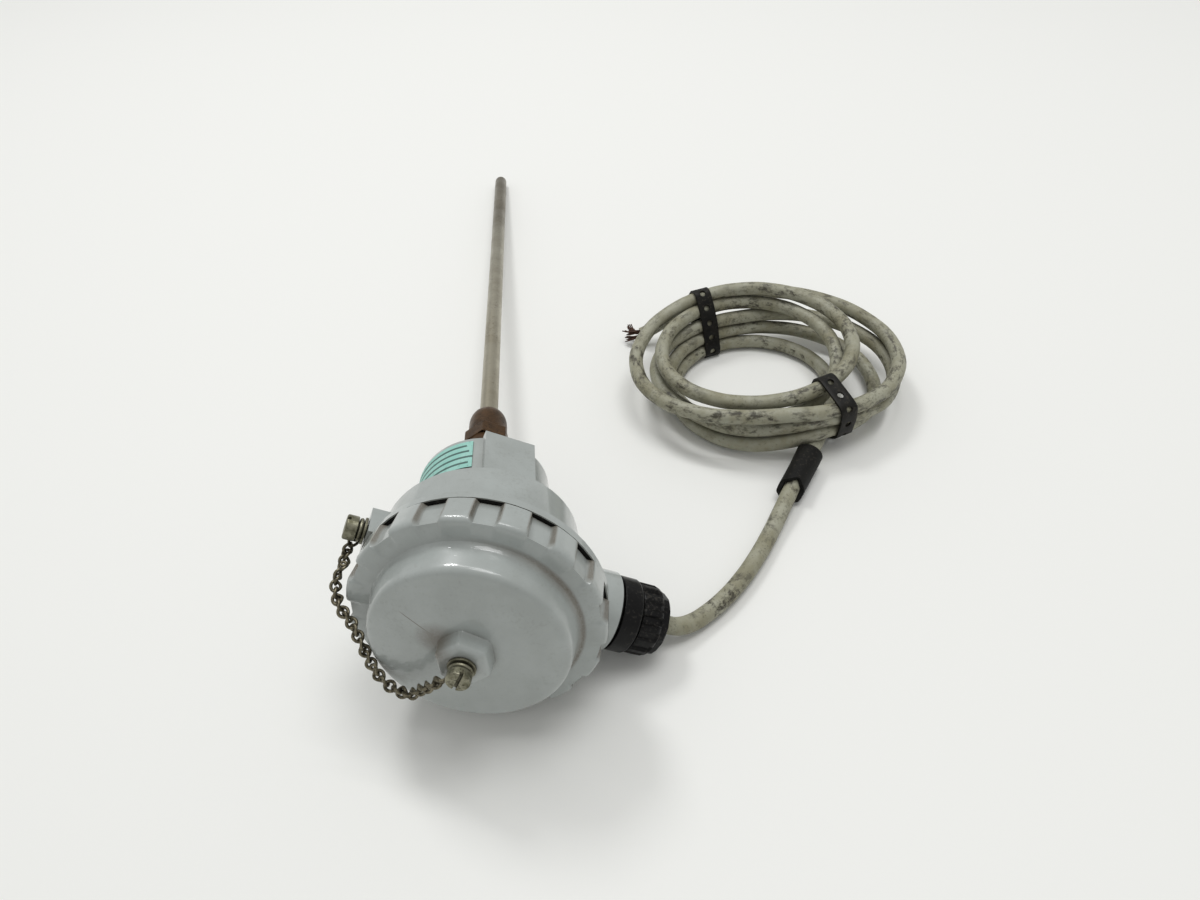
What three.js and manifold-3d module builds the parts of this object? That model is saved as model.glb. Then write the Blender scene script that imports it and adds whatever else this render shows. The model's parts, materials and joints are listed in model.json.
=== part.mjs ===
// Connection-head thermocouple lying on a flat surface: a sheathed probe, a moulded head with an
// inclined screw cap, a cable gland, a cap-retaining chain and a coiled lead held by two ties.
// Units are millimetres. +Z is up, +Y runs from the cap towards the probe's tip.
import * as THREE from 'three';
import * as BufferGeometryUtils from 'three/addons/utils/BufferGeometryUtils.js';
import Module from 'manifold-3d';

const wasm = await Module();
wasm.setup();

// ---------------------------------------------------------------- driving dimensions
const fit = 0.3;                    // clearance between pieces that seat on or in each other

// How the object lies: on the cap's grip ring, the gland's nut and the probe's tip.
const leanAngle = 5.4;              // degrees, cap end up
const rollAngle = 27.8;             // degrees, gland side down

// Probe
const sheathRadius = 4;
const sheathWall = 0.9;
const insulatorRadius = 2.5;
const wireRadius = 0.35;
const wireSpacing = 2.2;
const sheathLength = 360.5;

// Compression fitting
const fittingBarrelRadius = 8.4;
const fittingCollarFlats = 17.4;
const fittingCollarLength = 7;
const fittingHexFlats = 20;
const fittingHexLength = 7.5;
const fittingLength = 22;
const fittingShankRadius = 8.3;
const fittingShankLength = 12;
const noseRadius = 6.2;
const noseLength = 5;
const nutRadius = 8.2;
const nutLength = 15.5;
const nutTurns = 2;
const nutPitch = 1.5;

// Head body, measured along the stem axis from the point where the cap's plane crosses it
const neckRadius = 25;
const neckLength = 30.5;
const ringRadius = 35;
const ringRear = -27.7;
const headWall = 3.2;
const flatsWidth = 19.5;
const flatsHeight = 26;
const flatsOffset = 1;
const socketRadius = 14.5;
const socketLength = 10;
const neckBoreRadius = 21.5;

// Inclined joint between the head body and the screw cap
const capTilt = 10.5;               // degrees, leaning away from the cable entry
const capTwist = 8.5;               // degrees, how far that lean turns towards the head's underside
const capOffset = [1.2, 0.4, 0.2];
const rimRadius = 42.5;
const rimThickness = 2.9;
const rimLip = 0.5;
const gasketThickness = 1.9;
const spigotRadius = 36.6;
const spigotWall = 4.1;
const spigotHeight = 8.6;

// Screw cap
const gripRadius = 43.5;
const gripHeight = 11.5;
const gripDraft = 0.6;
const padCount = 15;
const padWidth = 8.6;
const padDistance = 41.4;
const padPhase = 7.5;               // degrees from the head's top towards the cable entry
const discRadius = 34.4;
const discHeight = 11.2;
const discDraft = 1.5;
const discEdge = 2;
const capWall = 2.8;
const domeHeight = 1.6;
const hexBossFlats = 16.6;
const hexBossHeight = 5.8;
const hexBossDraft = 0.5;
const capTurns = 3;
const capPitch = 4;

// Cable entry boss and gland
const bossRadius = 14.4;
const bossReach = 48.2;
const bossStation = -8.1;
const bossBoreRadius = 9.2;
const glandCollarRadius = 13.6;
const glandCollarLength = 7.4;
const glandNutRadius = 13;
const glandNutEndRadius = 11.6;
const glandNutLength = 11.3;
const glandStubRadius = 10.2;
const glandStubLength = 5;
const glandThreadRadius = 8.9;
const glandGasketThickness = 0.8;
const sealRadius = 5.9;
const sealLip = 1.6;

// Chain, its lug and screws
const lugWidth = 12;
const lugLength = 11.5;
const lugReach = 41.2;
const lugStation = -15.6;
const lugSide = 1.5;
const screwHeadRadius = 4;
const screwHeadHeight = 3.2;
const lugHeadHeight = 4;
const lugHeadRadius = 4.3;
const screwShankRadius = 1.9;
const slotWidth = 1;
const slotDepth = 1.3;
const washerThickness = 0.8;
const washerRadius = 4.6;
const chainRingRadius = 3.4;
const chainRingWire = 0.7;
const chainRadius = 1.9;

// Terminals inside the head
const blockRadius = 28;
const blockThickness = 7;
const blockHoleRadius = 6;
const blockScrewRadius = 24.6;
const postReach = 11;
const postWidth = 8;
const postHeight = 6;
const clampThickness = 1;
const terminalHeadRadius = 3;
const terminalHeadHeight = 2.2;
const terminalShankRadius = 1.5;

// Label on the neck
const labelThickness = 0.25;
const labelHeight = 15.4;
const labelStart = 29;              // degrees from the head's top, away from the cable entry
const labelSweep = 92;

// Lead
const cableRadius = 3.5;
const coreRadius = 0.9;
const sleeveRadius = 6.3;
const coilOuterRadius = 54;
const coilInnerRadius = 33;
const coilStretch = 1.31;           // the coil is this much wider than it is deep
const coilHeight = 32;
const coilCentre = [125.7, -41];
const coilRaise = 1.7;
const tieThickness = 1;
const tieWidth = 8.5;
const tieAngles = [114, -64];       // degrees about the coil's centre
const freeCoreRadius = 1.1;

// Where the lead lies, in the finished frame: from the gland, through the sleeve, to the coil,
// and from the coil to its bare end.
const runRoute = [
  [54.5, -183.5, 8.7], [59.6, -183.3, 6.3], [65.2, -181.2, 4.5], [71.6, -177.4, 3.8],
  [79.6, -171.4, 3.8], [88.2, -163, 3.8], [97, -152.4, 3.8], [105.2, -140.8, 3.8],
  [112.4, -130, 5], [119.2, -119.6, 6.3], [126.6, -108.5, 6.4], [134, -97.4, 6.4],
];
const sleeveEnds = [[120.2, -118.1, 6.4], [132.4, -99.8, 6.4]];
const tailRoute = [[90, 9.2, 16.6], [82.6, 8.8, 12.4], [75.5, 7.8, 9], [69.5, 6.6, 7]];
const coreEnds = [[60.2, 9, 3], [60.6, 12.8, 5], [63.4, 16.4, 7]];

// Facets around a full turn
const roundFacets = 60;
const smallFacets = 28;
const wireFacets = 10;

// ---------------------------------------------------------------- finishes
const finishes = {
  greyPlastic: { color: 0xa9aca7, roughness: 0.42, metalness: 0 },
  blackPlastic: { color: 0x141414, roughness: 0.5, metalness: 0 },
  blackRubber: { color: 0x1b1b1b, roughness: 0.8, metalness: 0 },
  tarnishedBrass: { color: 0x3a2413, roughness: 0.45, metalness: 0.6 },
  brass: { color: 0xb08d4c, roughness: 0.35, metalness: 1 },
  steel: { color: 0xa8a49a, roughness: 0.4, metalness: 0.9 },
  agedNickel: { color: 0x6a6350, roughness: 0.42, metalness: 0.85 },
  ceramic: { color: 0xe8e2d2, roughness: 0.55, metalness: 0 },
  label: { color: 0xa5d6cb, roughness: 0.6, metalness: 0 },
  cablePlastic: { color: 0x9c978b, roughness: 0.6, metalness: 0 },
  redPlastic: { color: 0x8e2b1f, roughness: 0.5, metalness: 0 },
  whitePlastic: { color: 0xdcd9cf, roughness: 0.5, metalness: 0 },
  wireAlloy: { color: 0x77736a, roughness: 0.4, metalness: 0.9 },
};

// ---------------------------------------------------------------- making and placing solids
const radians = THREE.MathUtils.degToRad;

// A closed mesh as a manifold solid.
function toSolid(geometry) {
  const plain = geometry.clone();
  plain.deleteAttribute('normal');
  plain.deleteAttribute('uv');
  const merged = BufferGeometryUtils.mergeVertices(plain, 1e-5);
  const vertProperties = new Float32Array(merged.attributes.position.array);
  const triVerts = new Uint32Array(merged.index.array);
  return new wasm.Manifold(new wasm.Mesh({ numProp: 3, vertProperties, triVerts }));
}

// A manifold solid as a mesh geometry.
function toGeometry(solid) {
  const mesh = solid.getMesh();
  const geometry = new THREE.BufferGeometry();
  geometry.setAttribute('position', new THREE.BufferAttribute(mesh.vertProperties, 3));
  geometry.setIndex(new THREE.BufferAttribute(mesh.triVerts, 1));
  geometry.computeVertexNormals();
  return geometry;
}

// The first geometry, joined with the second list and then cut by the third.
function shape(base, joined, removed) {
  let solid = toSolid(base);
  for (const geometry of joined) solid = solid.add(toSolid(geometry));
  for (const geometry of removed) solid = solid.subtract(toSolid(geometry));
  return toGeometry(solid);
}

// A solid of revolution about Z. The profile is a list of [radius, z].
function turned(profile, facets = roundFacets) {
  const points = profile.map(([radius, z]) => new THREE.Vector2(radius, z));
  const geometry = new THREE.LatheGeometry(points, facets);
  geometry.rotateX(Math.PI / 2);
  return geometry;
}

// A rod about Z between two heights.
function rod(radius, low, high, facets = roundFacets) {
  return turned([[0, low], [radius, low], [radius, high], [0, high]], facets);
}

// A tube about Z between two heights.
function tube(inner, outer, low, high, facets = roundFacets) {
  return turned([[inner, low], [outer, low], [outer, high], [inner, high], [inner, low]], facets);
}

// A box between two corners.
function block(low, high) {
  const size = high.map((value, axis) => value - low[axis]);
  const geometry = new THREE.BoxGeometry(...size);
  geometry.translate(...high.map((value, axis) => (value + low[axis]) / 2));
  return geometry;
}

// A six-sided bar about Z, with a corner on +X, that may taper towards its top.
function hexBar(flats, low, high, taper = 0) {
  const corner = flats / Math.sqrt(3);
  const geometry = new THREE.CylinderGeometry(corner - taper, corner, high - low, 6);
  geometry.rotateX(Math.PI / 2);
  geometry.rotateZ(Math.PI / 2);
  geometry.translate(0, 0, (low + high) / 2);
  return geometry;
}

// A round bar that follows a curve.
function swept(points, radius, steps, facets = wireFacets) {
  const curve = new THREE.CatmullRomCurve3(points.map((point) => new THREE.Vector3(...point)));
  const section = new THREE.Shape();
  section.absarc(0, 0, radius, 0, 2 * Math.PI);
  const settings = { steps, extrudePath: curve, curveSegments: facets, bevelEnabled: false };
  return new THREE.ExtrudeGeometry(section, settings);
}

// A wire ring about Z.
function wireRing(radius, wire, height) {
  const profile = [];
  for (let step = 0; step <= wireFacets; step += 1) {
    const angle = (2 * Math.PI * step) / wireFacets;
    profile.push([radius + wire * Math.cos(angle), height + wire * Math.sin(angle)]);
  }
  return turned(profile, smallFacets);
}

// A slotted cheese-head screw about Z: the head sits on seat, the shank runs down by length.
function slottedScrew(headRadius, headHeight, shankRadius, seat, length) {
  const bevel = 0.4;
  const top = seat + headHeight;
  const body = turned([
    [0, seat - length], [shankRadius, seat - length], [shankRadius, seat],
    [headRadius, seat], [headRadius, top - bevel], [headRadius - bevel, top], [0, top],
  ], smallFacets);
  const slot = block([-slotWidth / 2, -headRadius - 1, top - slotDepth], [slotWidth / 2, headRadius + 1, top + 1]);
  return shape(body, [], [slot]);
}

function mesh(name, finish, geometry) {
  const made = new THREE.Mesh(geometry, new THREE.MeshStandardMaterial(finish));
  made.name = name;
  return made;
}

// ---------------------------------------------------------------- frames
const thermocouple = new THREE.Group();
const assembly = new THREE.Group();
thermocouple.add(assembly);

// The stem frame: +Z along the probe towards the cap, +X towards the cable entry, +Y the head's top.
const stem = new THREE.Group();
stem.rotation.set(Math.PI / 2 - radians(leanAngle), 0, -radians(rollAngle));
assembly.add(stem);

// The cap frame: +Z out of the inclined cap, its origin on the cap's plane.
const cap = new THREE.Group();
const leanSide = radians(180 + capTwist);
const capLean = new THREE.Vector3(
  Math.sin(radians(capTilt)) * Math.cos(leanSide),
  Math.sin(radians(capTilt)) * Math.sin(leanSide),
  Math.cos(radians(capTilt)),
);
cap.position.set(...capOffset);
cap.quaternion.setFromUnitVectors(new THREE.Vector3(0, 0, 1), capLean);
stem.add(cap);

// The gland frame: +Z out of the cable entry.
const gland = new THREE.Group();
gland.position.set(0, 0, bossStation);
gland.rotation.y = Math.PI / 2;
stem.add(gland);

// The lug frame: +Z out of the chain lug's end face.
const lug = new THREE.Group();
lug.position.set(0, lugSide, lugStation);
lug.rotation.y = -Math.PI / 2;
stem.add(lug);

// A geometry made in one of those frames, moved into the stem frame.
function inStem(group, geometry) {
  group.updateMatrix();
  return geometry.clone().applyMatrix4(group.matrix);
}

// ---------------------------------------------------------------- stations along the stem
const neckRear = ringRear - neckLength;
const socketRear = neckRear - socketLength;
const shelf = ringRear + headWall;
const neckFloor = neckRear + headWall;
const fittingTop = socketRear - fit;
const fittingEnd = fittingTop - fittingLength;
const nutTop = fittingEnd - fit;
const nutEnd = nutTop - nutLength;
const blockBase = shelf + fit;
const blockTop = blockBase + blockThickness;
const sheathTop = neckFloor + fit;
const sheathTip = sheathTop - sheathLength;

// ---------------------------------------------------------------- head body
function headBody() {
  const edge = 1.5;
  const reach = 30;
  const overlap = 1;
  const ring = turned([
    [0, ringRear], [ringRadius - edge, ringRear], [ringRadius, ringRear + edge],
    [ringRadius, reach], [0, reach],
  ]);
  const neck = turned([
    [0, neckRear], [neckRadius - edge, neckRear], [neckRadius, neckRear + edge],
    [neckRadius, ringRear + overlap], [0, ringRear + overlap],
  ]);
  const half = flatsWidth / 2;
  const flats = block(
    [flatsOffset - half, -flatsHeight, neckRear],
    [flatsOffset + half, flatsHeight, ringRear + overlap],
  );
  const socket = rod(socketRadius, socketRear, neckRear + overlap);
  const boss = inStem(gland, rod(bossRadius, ringRadius - 4, bossReach, smallFacets + 12));
  const lugBlock = block(
    [-lugReach, lugSide - lugWidth / 2, lugStation - lugLength / 2],
    [-ringRadius + 2, lugSide + lugWidth / 2, lugStation + lugLength / 2],
  );
  const above = inStem(cap, rod(ringRadius + 20, -fit - rimThickness / 2, reach * 2));
  const outer = shape(ring, [neck, flats, socket, boss, lugBlock], [above]);
  const rim = inStem(cap, rod(rimRadius, -fit - rimThickness, -fit));
  const spigot = inStem(cap, rod(spigotRadius, -fit - rimThickness, spigotHeight));
  const boreRadius = spigotRadius - spigotWall;
  const cavity = rod(ringRadius - headWall, shelf, ringRadius);
  const capBore = inStem(cap, rod(boreRadius, -6, reach));
  const neckBore = rod(neckBoreRadius, neckFloor, shelf + overlap);
  const socketBore = rod(fittingShankRadius + fit, socketRear - overlap, neckFloor + overlap, smallFacets);
  const bossBore = inStem(gland, rod(bossBoreRadius, ringRadius - 8, bossReach + overlap, smallFacets));
  const gasketSeat = inStem(cap, tube(spigotRadius + fit, rimRadius - rimLip,
    -fit - gasketThickness - fit, spigotHeight));
  const lugHole = inStem(lug, rod(screwShankRadius + fit, lugReach - 6, lugReach + overlap, smallFacets));
  const screwHoles = [-1, 1].map((side) => {
    const hole = rod(terminalShankRadius + fit, ringRear - overlap, shelf + overlap, wireFacets);
    return hole.translate(0, side * blockScrewRadius, 0);
  });
  return shape(outer, [rim, spigot],
    [cavity, capBore, neckBore, socketBore, bossBore, gasketSeat, lugHole, ...screwHoles]);
}
stem.add(mesh('head_body', finishes.greyPlastic, headBody()));

const gasket = tube(spigotRadius + 2 * fit, rimRadius - rimLip - fit, -fit - gasketThickness, -fit);
cap.add(mesh('cap_gasket', finishes.blackRubber, gasket));

// ---------------------------------------------------------------- screw cap
const discTop = gripHeight + discHeight;
const hexSeat = discTop + domeHeight;
const hexTop = hexSeat + hexBossHeight;

function screwCap() {
  const edge = 1;
  const collar = 1;
  const shoulder = gripHeight - 2.1;
  const underTop = discTop - capWall;
  const innerDisc = discRadius - discDraft - capWall;
  const outer = turned([
    [0, 0], [gripRadius - gripDraft, 0], [gripRadius, gripHeight - edge], [gripRadius - edge, gripHeight],
    [discRadius + collar, gripHeight], [discRadius, gripHeight + collar],
    [discRadius - discDraft, discTop - discEdge],
    [discRadius - discDraft - 0.3 * discEdge, discTop - 0.3 * discEdge],
    [discRadius - discDraft - discEdge, discTop],
    [hexBossFlats / 2, hexSeat], [0, hexSeat],
  ]);
  const boss = hexBar(hexBossFlats, hexSeat - 2, hexTop, hexBossDraft);
  boss.rotateZ(Math.PI / 6 + Math.PI / 6);
  const bore = rod(spigotRadius + 0.4, -1, shoulder);
  const room = rod(innerDisc, shoulder - 1, underTop);
  const screwHole = rod(screwShankRadius + fit, underTop - 1, hexTop + 1, smallFacets);
  const pads = [];
  for (let index = 0; index < padCount; index += 1) {
    const pad = block([padDistance, -padWidth / 2, -1], [gripRadius + 4, padWidth / 2, gripHeight + 1]);
    pad.rotateZ(radians(90 - padPhase - (360 * index) / padCount));
    pads.push(pad);
  }
  return shape(outer, [boss], [bore, room, screwHole, ...pads]);
}
cap.add(mesh('screw_cap', finishes.greyPlastic, screwCap()));

// ---------------------------------------------------------------- chain screw in the cap
const capWasherSeat = hexTop + fit;
const capRingHeight = capWasherSeat + washerThickness + fit + chainRingWire;
const capHeadSeat = capRingHeight + chainRingWire + fit;
cap.add(mesh('cap_washer', finishes.agedNickel,
  tube(screwShankRadius + fit, washerRadius, capWasherSeat, capWasherSeat + washerThickness, smallFacets)));
cap.add(mesh('cap_chain_ring', finishes.agedNickel, wireRing(chainRingRadius, chainRingWire, capRingHeight)));
cap.add(mesh('cap_chain_screw', finishes.agedNickel,
  slottedScrew(screwHeadRadius, screwHeadHeight, screwShankRadius, capHeadSeat, 12)));

// ---------------------------------------------------------------- chain screw in the lug
const lugWasherSeat = lugReach + fit;
const lugRingHeight = lugWasherSeat + washerThickness + fit + chainRingWire;
const lugHeadSeat = lugRingHeight + chainRingWire + fit;
lug.add(mesh('lug_washer', finishes.agedNickel,
  tube(screwShankRadius + fit, washerRadius, lugWasherSeat, lugWasherSeat + washerThickness, smallFacets)));
lug.add(mesh('lug_chain_ring', finishes.agedNickel, wireRing(chainRingRadius, chainRingWire, lugRingHeight)));
lug.add(mesh('lug_screw', finishes.agedNickel,
  slottedScrew(lugHeadRadius, lugHeadHeight, screwShankRadius, lugHeadSeat, 8)));

// ---------------------------------------------------------------- retaining chain
// It hangs from the lug's ring past the grip ring, below the disc, and up to the cap's ring. The
// points are shares of the grip radius across, and millimetres along the cap's axis.
const chainRoute = [
  [-1.0897, -0.1333, -8.2], [-1.1034, -0.1885, -5.4], [-1.0805, -0.2276, 0], [-1.0805, -0.2667, 5],
  [-1.0345, -0.2943, 9.6], [-0.9563, -0.308, 14.2], [-0.8598, -0.3448, 16.2],
  [-0.7816, -0.3931, 18.2], [-0.7011, -0.4345, 20.6], [-0.6184, -0.492, 22.9],
  [-0.5379, -0.531, 24.9], [-0.4437, -0.5724, 26.4], [-0.3264, -0.5609, 28.1],
  [-0.2391, -0.492, 29.8], [-0.1885, -0.3494, 31.4], [-0.1425, -0.2207, 33.2],
  [-0.1149, -0.1471, 33.4],
].map(([x, y, z]) => [x * gripRadius, y * gripRadius, z]);
cap.add(mesh('retaining_chain', finishes.agedNickel, swept(chainRoute, chainRadius, 44, 8)));

// ---------------------------------------------------------------- compression fitting and nut
function fittingBody() {
  const collarTop = fittingEnd + fittingCollarLength;
  const hexBottom = fittingTop - fittingHexLength;
  const shankTop = fittingTop + fittingShankLength;
  const core = turned([
    [0, fittingEnd - noseLength], [noseRadius - 1, fittingEnd - noseLength], [noseRadius, fittingEnd - noseLength + 1],
    [noseRadius, fittingEnd + 1], [fittingBarrelRadius, fittingEnd + 1], [fittingBarrelRadius, fittingTop - 1],
    [fittingShankRadius, fittingTop - 1], [fittingShankRadius, shankTop], [0, shankTop],
  ], smallFacets + 8);
  const collar = hexBar(fittingCollarFlats, fittingEnd, collarTop);
  const hex = hexBar(fittingHexFlats, hexBottom, fittingTop);
  const bore = rod(sheathRadius + fit, fittingEnd - noseLength - 1, shankTop + 1, smallFacets);
  return shape(core, [collar, hex], [bore]);
}
stem.add(mesh('process_fitting', finishes.tarnishedBrass, fittingBody()));

const ferruleTop = fittingEnd - noseLength - fit;
const ferruleLength = 3.6;
const ferrule = turned([
  [sheathRadius + fit, ferruleTop - ferruleLength], [noseRadius - 0.8, ferruleTop - ferruleLength],
  [noseRadius - 0.4, ferruleTop - 1.4], [noseRadius - 1, ferruleTop], [sheathRadius + fit, ferruleTop],
  [sheathRadius + fit, ferruleTop - ferruleLength],
], smallFacets);
stem.add(mesh('ferrule', finishes.brass, ferrule));

function compressionNut() {
  const domeStart = nutEnd + 7.5;
  const mouth = sheathRadius + fit;
  const profile = [[0, nutEnd]];
  const domeSteps = 6;
  for (let step = 0; step <= domeSteps; step += 1) {
    const angle = (Math.PI / 2) * (step / domeSteps);
    const radius = mouth + 0.4 + (nutRadius - mouth - 0.4) * Math.sin(angle);
    profile.push([radius, domeStart - (domeStart - nutEnd) * Math.cos(angle)]);
  }
  profile.push([nutRadius, nutTop - 0.6], [nutRadius - 0.4, nutTop], [0, nutTop]);
  const socketEnd = ferruleTop - ferruleLength - fit;
  const socket = rod(noseRadius + fit, socketEnd, nutTop + 1, smallFacets);
  const bore = rod(mouth, nutEnd - 1, nutTop, smallFacets);
  return shape(turned(profile, smallFacets + 8), [], [socket, bore]);
}
stem.add(mesh('compression_nut', finishes.tarnishedBrass, compressionNut()));

// ---------------------------------------------------------------- probe
function sheath() {
  const inner = sheathRadius - sheathWall;
  const profile = [[inner, sheathTop], [inner, sheathTip + sheathRadius]];
  profile.push([inner * 0.7, sheathTip + sheathRadius - inner * 0.7]);
  profile.push([0, sheathTip + sheathWall]);
  const arcSteps = 6;
  for (let step = 0; step <= arcSteps; step += 1) {
    const angle = (Math.PI / 2) * (step / arcSteps);
    profile.push([sheathRadius * Math.sin(angle), sheathTip + sheathRadius * (1 - Math.cos(angle))]);
  }
  profile.push([sheathRadius, sheathTop]);
  profile.push([inner, sheathTop]);
  return toGeometry(toSolid(turned(profile, smallFacets)));
}
stem.add(mesh('probe_sheath', finishes.steel, sheath()));

const insulatorTop = sheathTop + 6;
const insulatorTip = sheathTip + 9;
function insulator() {
  const bores = [-1, 1].map((side) => {
    const bore = rod(wireRadius + 0.2, insulatorTip - 1, insulatorTop + 1, wireFacets);
    return bore.translate((side * wireSpacing) / 2, 0, 0);
  });
  return shape(rod(insulatorRadius, insulatorTip, insulatorTop, smallFacets), [], bores);
}
stem.add(mesh('ceramic_insulator', finishes.ceramic, insulator()));

// Each wire runs straight down its bore and bends out to its terminal at the top.
const wireBend = insulatorTop + 4;
const postTop = blockTop + fit + postHeight;
const wireRest = postTop + fit + wireRadius;
const wireTip = insulatorTip - 3;
function thermoWire(side) {
  const x = (side * wireSpacing) / 2;
  const reach = side * (postReach - 2.4);
  const straight = rod(wireRadius, wireTip, wireBend, wireFacets).translate(x, 0, 0);
  const inset = side * (postReach - postWidth / 2 - 1.4);
  const bent = swept([
    [x, 0, wireBend - 0.5], [x, 0, wireBend + 4], [side * 2.4, 0, blockBase - 4], [side * 3, 0, blockTop - 2],
    [inset, 0, wireRest - 3], [inset + side * 0.8, 0, wireRest - 0.4], [reach, 0, wireRest],
  ], wireRadius, 16, wireFacets);
  return shape(straight, [bent], []);
}
stem.add(mesh('positive_wire', finishes.wireAlloy, thermoWire(1)));
stem.add(mesh('negative_wire', finishes.wireAlloy, thermoWire(-1)));

const beadRadius = 1.5;
const bead = new THREE.SphereGeometry(beadRadius, 16, 12);
bead.translate(0, 0, wireTip - fit - beadRadius);
stem.add(mesh('hot_junction', finishes.wireAlloy, bead));

// ---------------------------------------------------------------- terminal block
function terminalBlock() {
  const centre = rod(blockHoleRadius, blockBase - 1, blockTop + 1, smallFacets);
  const holes = [-1, 1].map((side) => {
    const hole = rod(terminalShankRadius + fit, blockBase - 1, blockTop + 1, wireFacets);
    return hole.translate(0, side * blockScrewRadius, 0);
  });
  return shape(rod(blockRadius, blockBase, blockTop, roundFacets), [], [centre, ...holes]);
}
stem.add(mesh('terminal_block', finishes.ceramic, terminalBlock()));

for (const [index, side] of [-1, 1].entries()) {
  const number = index + 1;
  const fixing = slottedScrew(terminalHeadRadius, terminalHeadHeight, terminalShankRadius, blockTop + fit, 9.5);
  fixing.translate(0, side * blockScrewRadius, 0);
  stem.add(mesh(`block_screw_${number}`, finishes.steel, fixing));

  const x = side * postReach;
  const half = postWidth / 2;
  const postBase = blockTop + fit;
  const clampBase = wireRest + wireRadius + fit;
  const clampTop = clampBase + clampThickness;
  const hole = rod(terminalShankRadius + fit, postBase + 1, clampTop + 3, smallFacets);
  hole.translate(x, 0, 0);
  const post = shape(block([x - half, -half, postBase], [x + half, half, postTop]), [], [hole]);
  stem.add(mesh(`terminal_post_${number}`, finishes.brass, post));

  const clamp = shape(block([x - half, -half, clampBase], [x + half, half, clampTop]), [], [hole]);
  stem.add(mesh(`clamp_plate_${number}`, finishes.brass, clamp));

  const screw = slottedScrew(terminalHeadRadius, terminalHeadHeight, terminalShankRadius, clampTop + fit, 5.5);
  screw.translate(x, 0, 0);
  stem.add(mesh(`terminal_screw_${number}`, finishes.brass, screw));
}

// ---------------------------------------------------------------- label
function label() {
  const inner = neckRadius + 0.1;
  const outer = inner + labelThickness;
  const start = radians(90 + labelStart);
  const end = start + radians(labelSweep);
  const outline = new THREE.Shape();
  outline.absarc(0, 0, outer, start, end, false);
  outline.absarc(0, 0, inner, end, start, true);
  const settings = { depth: labelHeight, bevelEnabled: false, curveSegments: 16 };
  const geometry = new THREE.ExtrudeGeometry(outline, settings);
  return geometry.translate(0, 0, neckRear + 3.4);
}
stem.add(mesh('neck_label', finishes.label, label()));

// ---------------------------------------------------------------- cable gland
const glandSeat = bossReach + fit + glandGasketThickness + fit;
const collarEnd = glandSeat + glandCollarLength;
const glandNutSeat = collarEnd + fit;
const glandNutEnd = glandNutSeat + glandNutLength;
const stubEnd = collarEnd + glandStubLength;
gland.add(mesh('gland_gasket', finishes.blackRubber,
  tube(glandThreadRadius + fit, glandCollarRadius - 0.6, bossReach + fit, glandSeat - fit, smallFacets)));

function glandBody() {
  const start = ringRadius - 4;
  const body = turned([
    [cableRadius + fit, start], [glandThreadRadius, start], [glandThreadRadius, glandSeat],
    [glandCollarRadius, glandSeat], [glandCollarRadius, collarEnd - 0.6], [glandCollarRadius - 0.6, collarEnd],
    [glandStubRadius, collarEnd], [glandStubRadius, stubEnd], [sealRadius + fit, stubEnd],
    [sealRadius + fit, glandSeat + 3], [cableRadius + fit, glandSeat + 3], [cableRadius + fit, start],
  ], smallFacets + 12);
  return toGeometry(toSolid(body));
}
gland.add(mesh('gland_body', finishes.blackPlastic, glandBody()));

const ringSeat = stubEnd + fit;
const ringThickness = 1.2;
gland.add(mesh('gland_clamp_ring', finishes.blackPlastic,
  tube(sealRadius + fit, glandStubRadius - 0.6, ringSeat, ringSeat + ringThickness, smallFacets)));

const seal = tube(cableRadius + fit, sealRadius, glandSeat + 3 + fit, glandNutEnd + sealLip, smallFacets);
gland.add(mesh('gland_seal', finishes.blackRubber, seal));

function glandNut() {
  const shoulder = ringSeat + ringThickness + fit;
  const bend = glandNutSeat + 0.55 * glandNutLength;
  const body = turned([
    [glandStubRadius + fit, glandNutSeat], [glandNutRadius, glandNutSeat], [glandNutRadius, bend],
    [glandNutEndRadius, bend + 2.2], [glandNutEndRadius, glandNutEnd - 0.6], [glandNutEndRadius - 0.6, glandNutEnd],
    [sealRadius + fit, glandNutEnd], [sealRadius + fit, shoulder], [glandStubRadius + fit, shoulder],
    [glandStubRadius + fit, glandNutSeat],
  ], smallFacets + 12);
  return toGeometry(toSolid(body));
}
gland.add(mesh('gland_nut', finishes.blackPlastic, glandNut()));

// The jacketed end of the cable that the gland grips.
const jacketStart = ringRadius - 8;
const cableExit = glandNutEnd + sealLip + 1;
gland.add(mesh('cable_in_gland', finishes.cablePlastic, rod(cableRadius, jacketStart, cableExit, smallFacets)));

// Two cores leave the jacket and end beside their clamp plates.
const coreHeight = wireRest + wireRadius + fit + clampThickness / 2;
const coreEnd = postWidth / 2 + fit + coreRadius;
const coreRoutes = {
  inner_core_red: [
    [jacketStart - fit, 1.3, bossStation], [jacketStart - 3, 1.4, bossStation], [20, 3.5, coreHeight - 1],
    [postReach + 3, coreEnd, coreHeight], [postReach - 3.5, coreEnd, coreHeight],
  ],
  inner_core_white: [
    [jacketStart - fit, -1.3, bossStation], [jacketStart - 3, -1.6, bossStation], [18, -6, coreHeight - 0.5],
    [4, -8, coreHeight], [-postReach + 4, -coreEnd - 0.6, coreHeight], [-postReach - 3.5, -coreEnd, coreHeight],
  ],
};
stem.add(mesh('inner_core_red', finishes.redPlastic, swept(coreRoutes.inner_core_red, coreRadius, 14, 8)));
stem.add(mesh('inner_core_white', finishes.whitePlastic, swept(coreRoutes.inner_core_white, coreRadius, 22, 8)));

// ---------------------------------------------------------------- the object stands on z = 0
assembly.updateMatrixWorld(true);
const box = new THREE.Box3().setFromObject(assembly, true);
assembly.position.set(-(box.min.x + box.max.x) / 2, -(box.min.y + box.max.y) / 2, -box.min.z);

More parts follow.
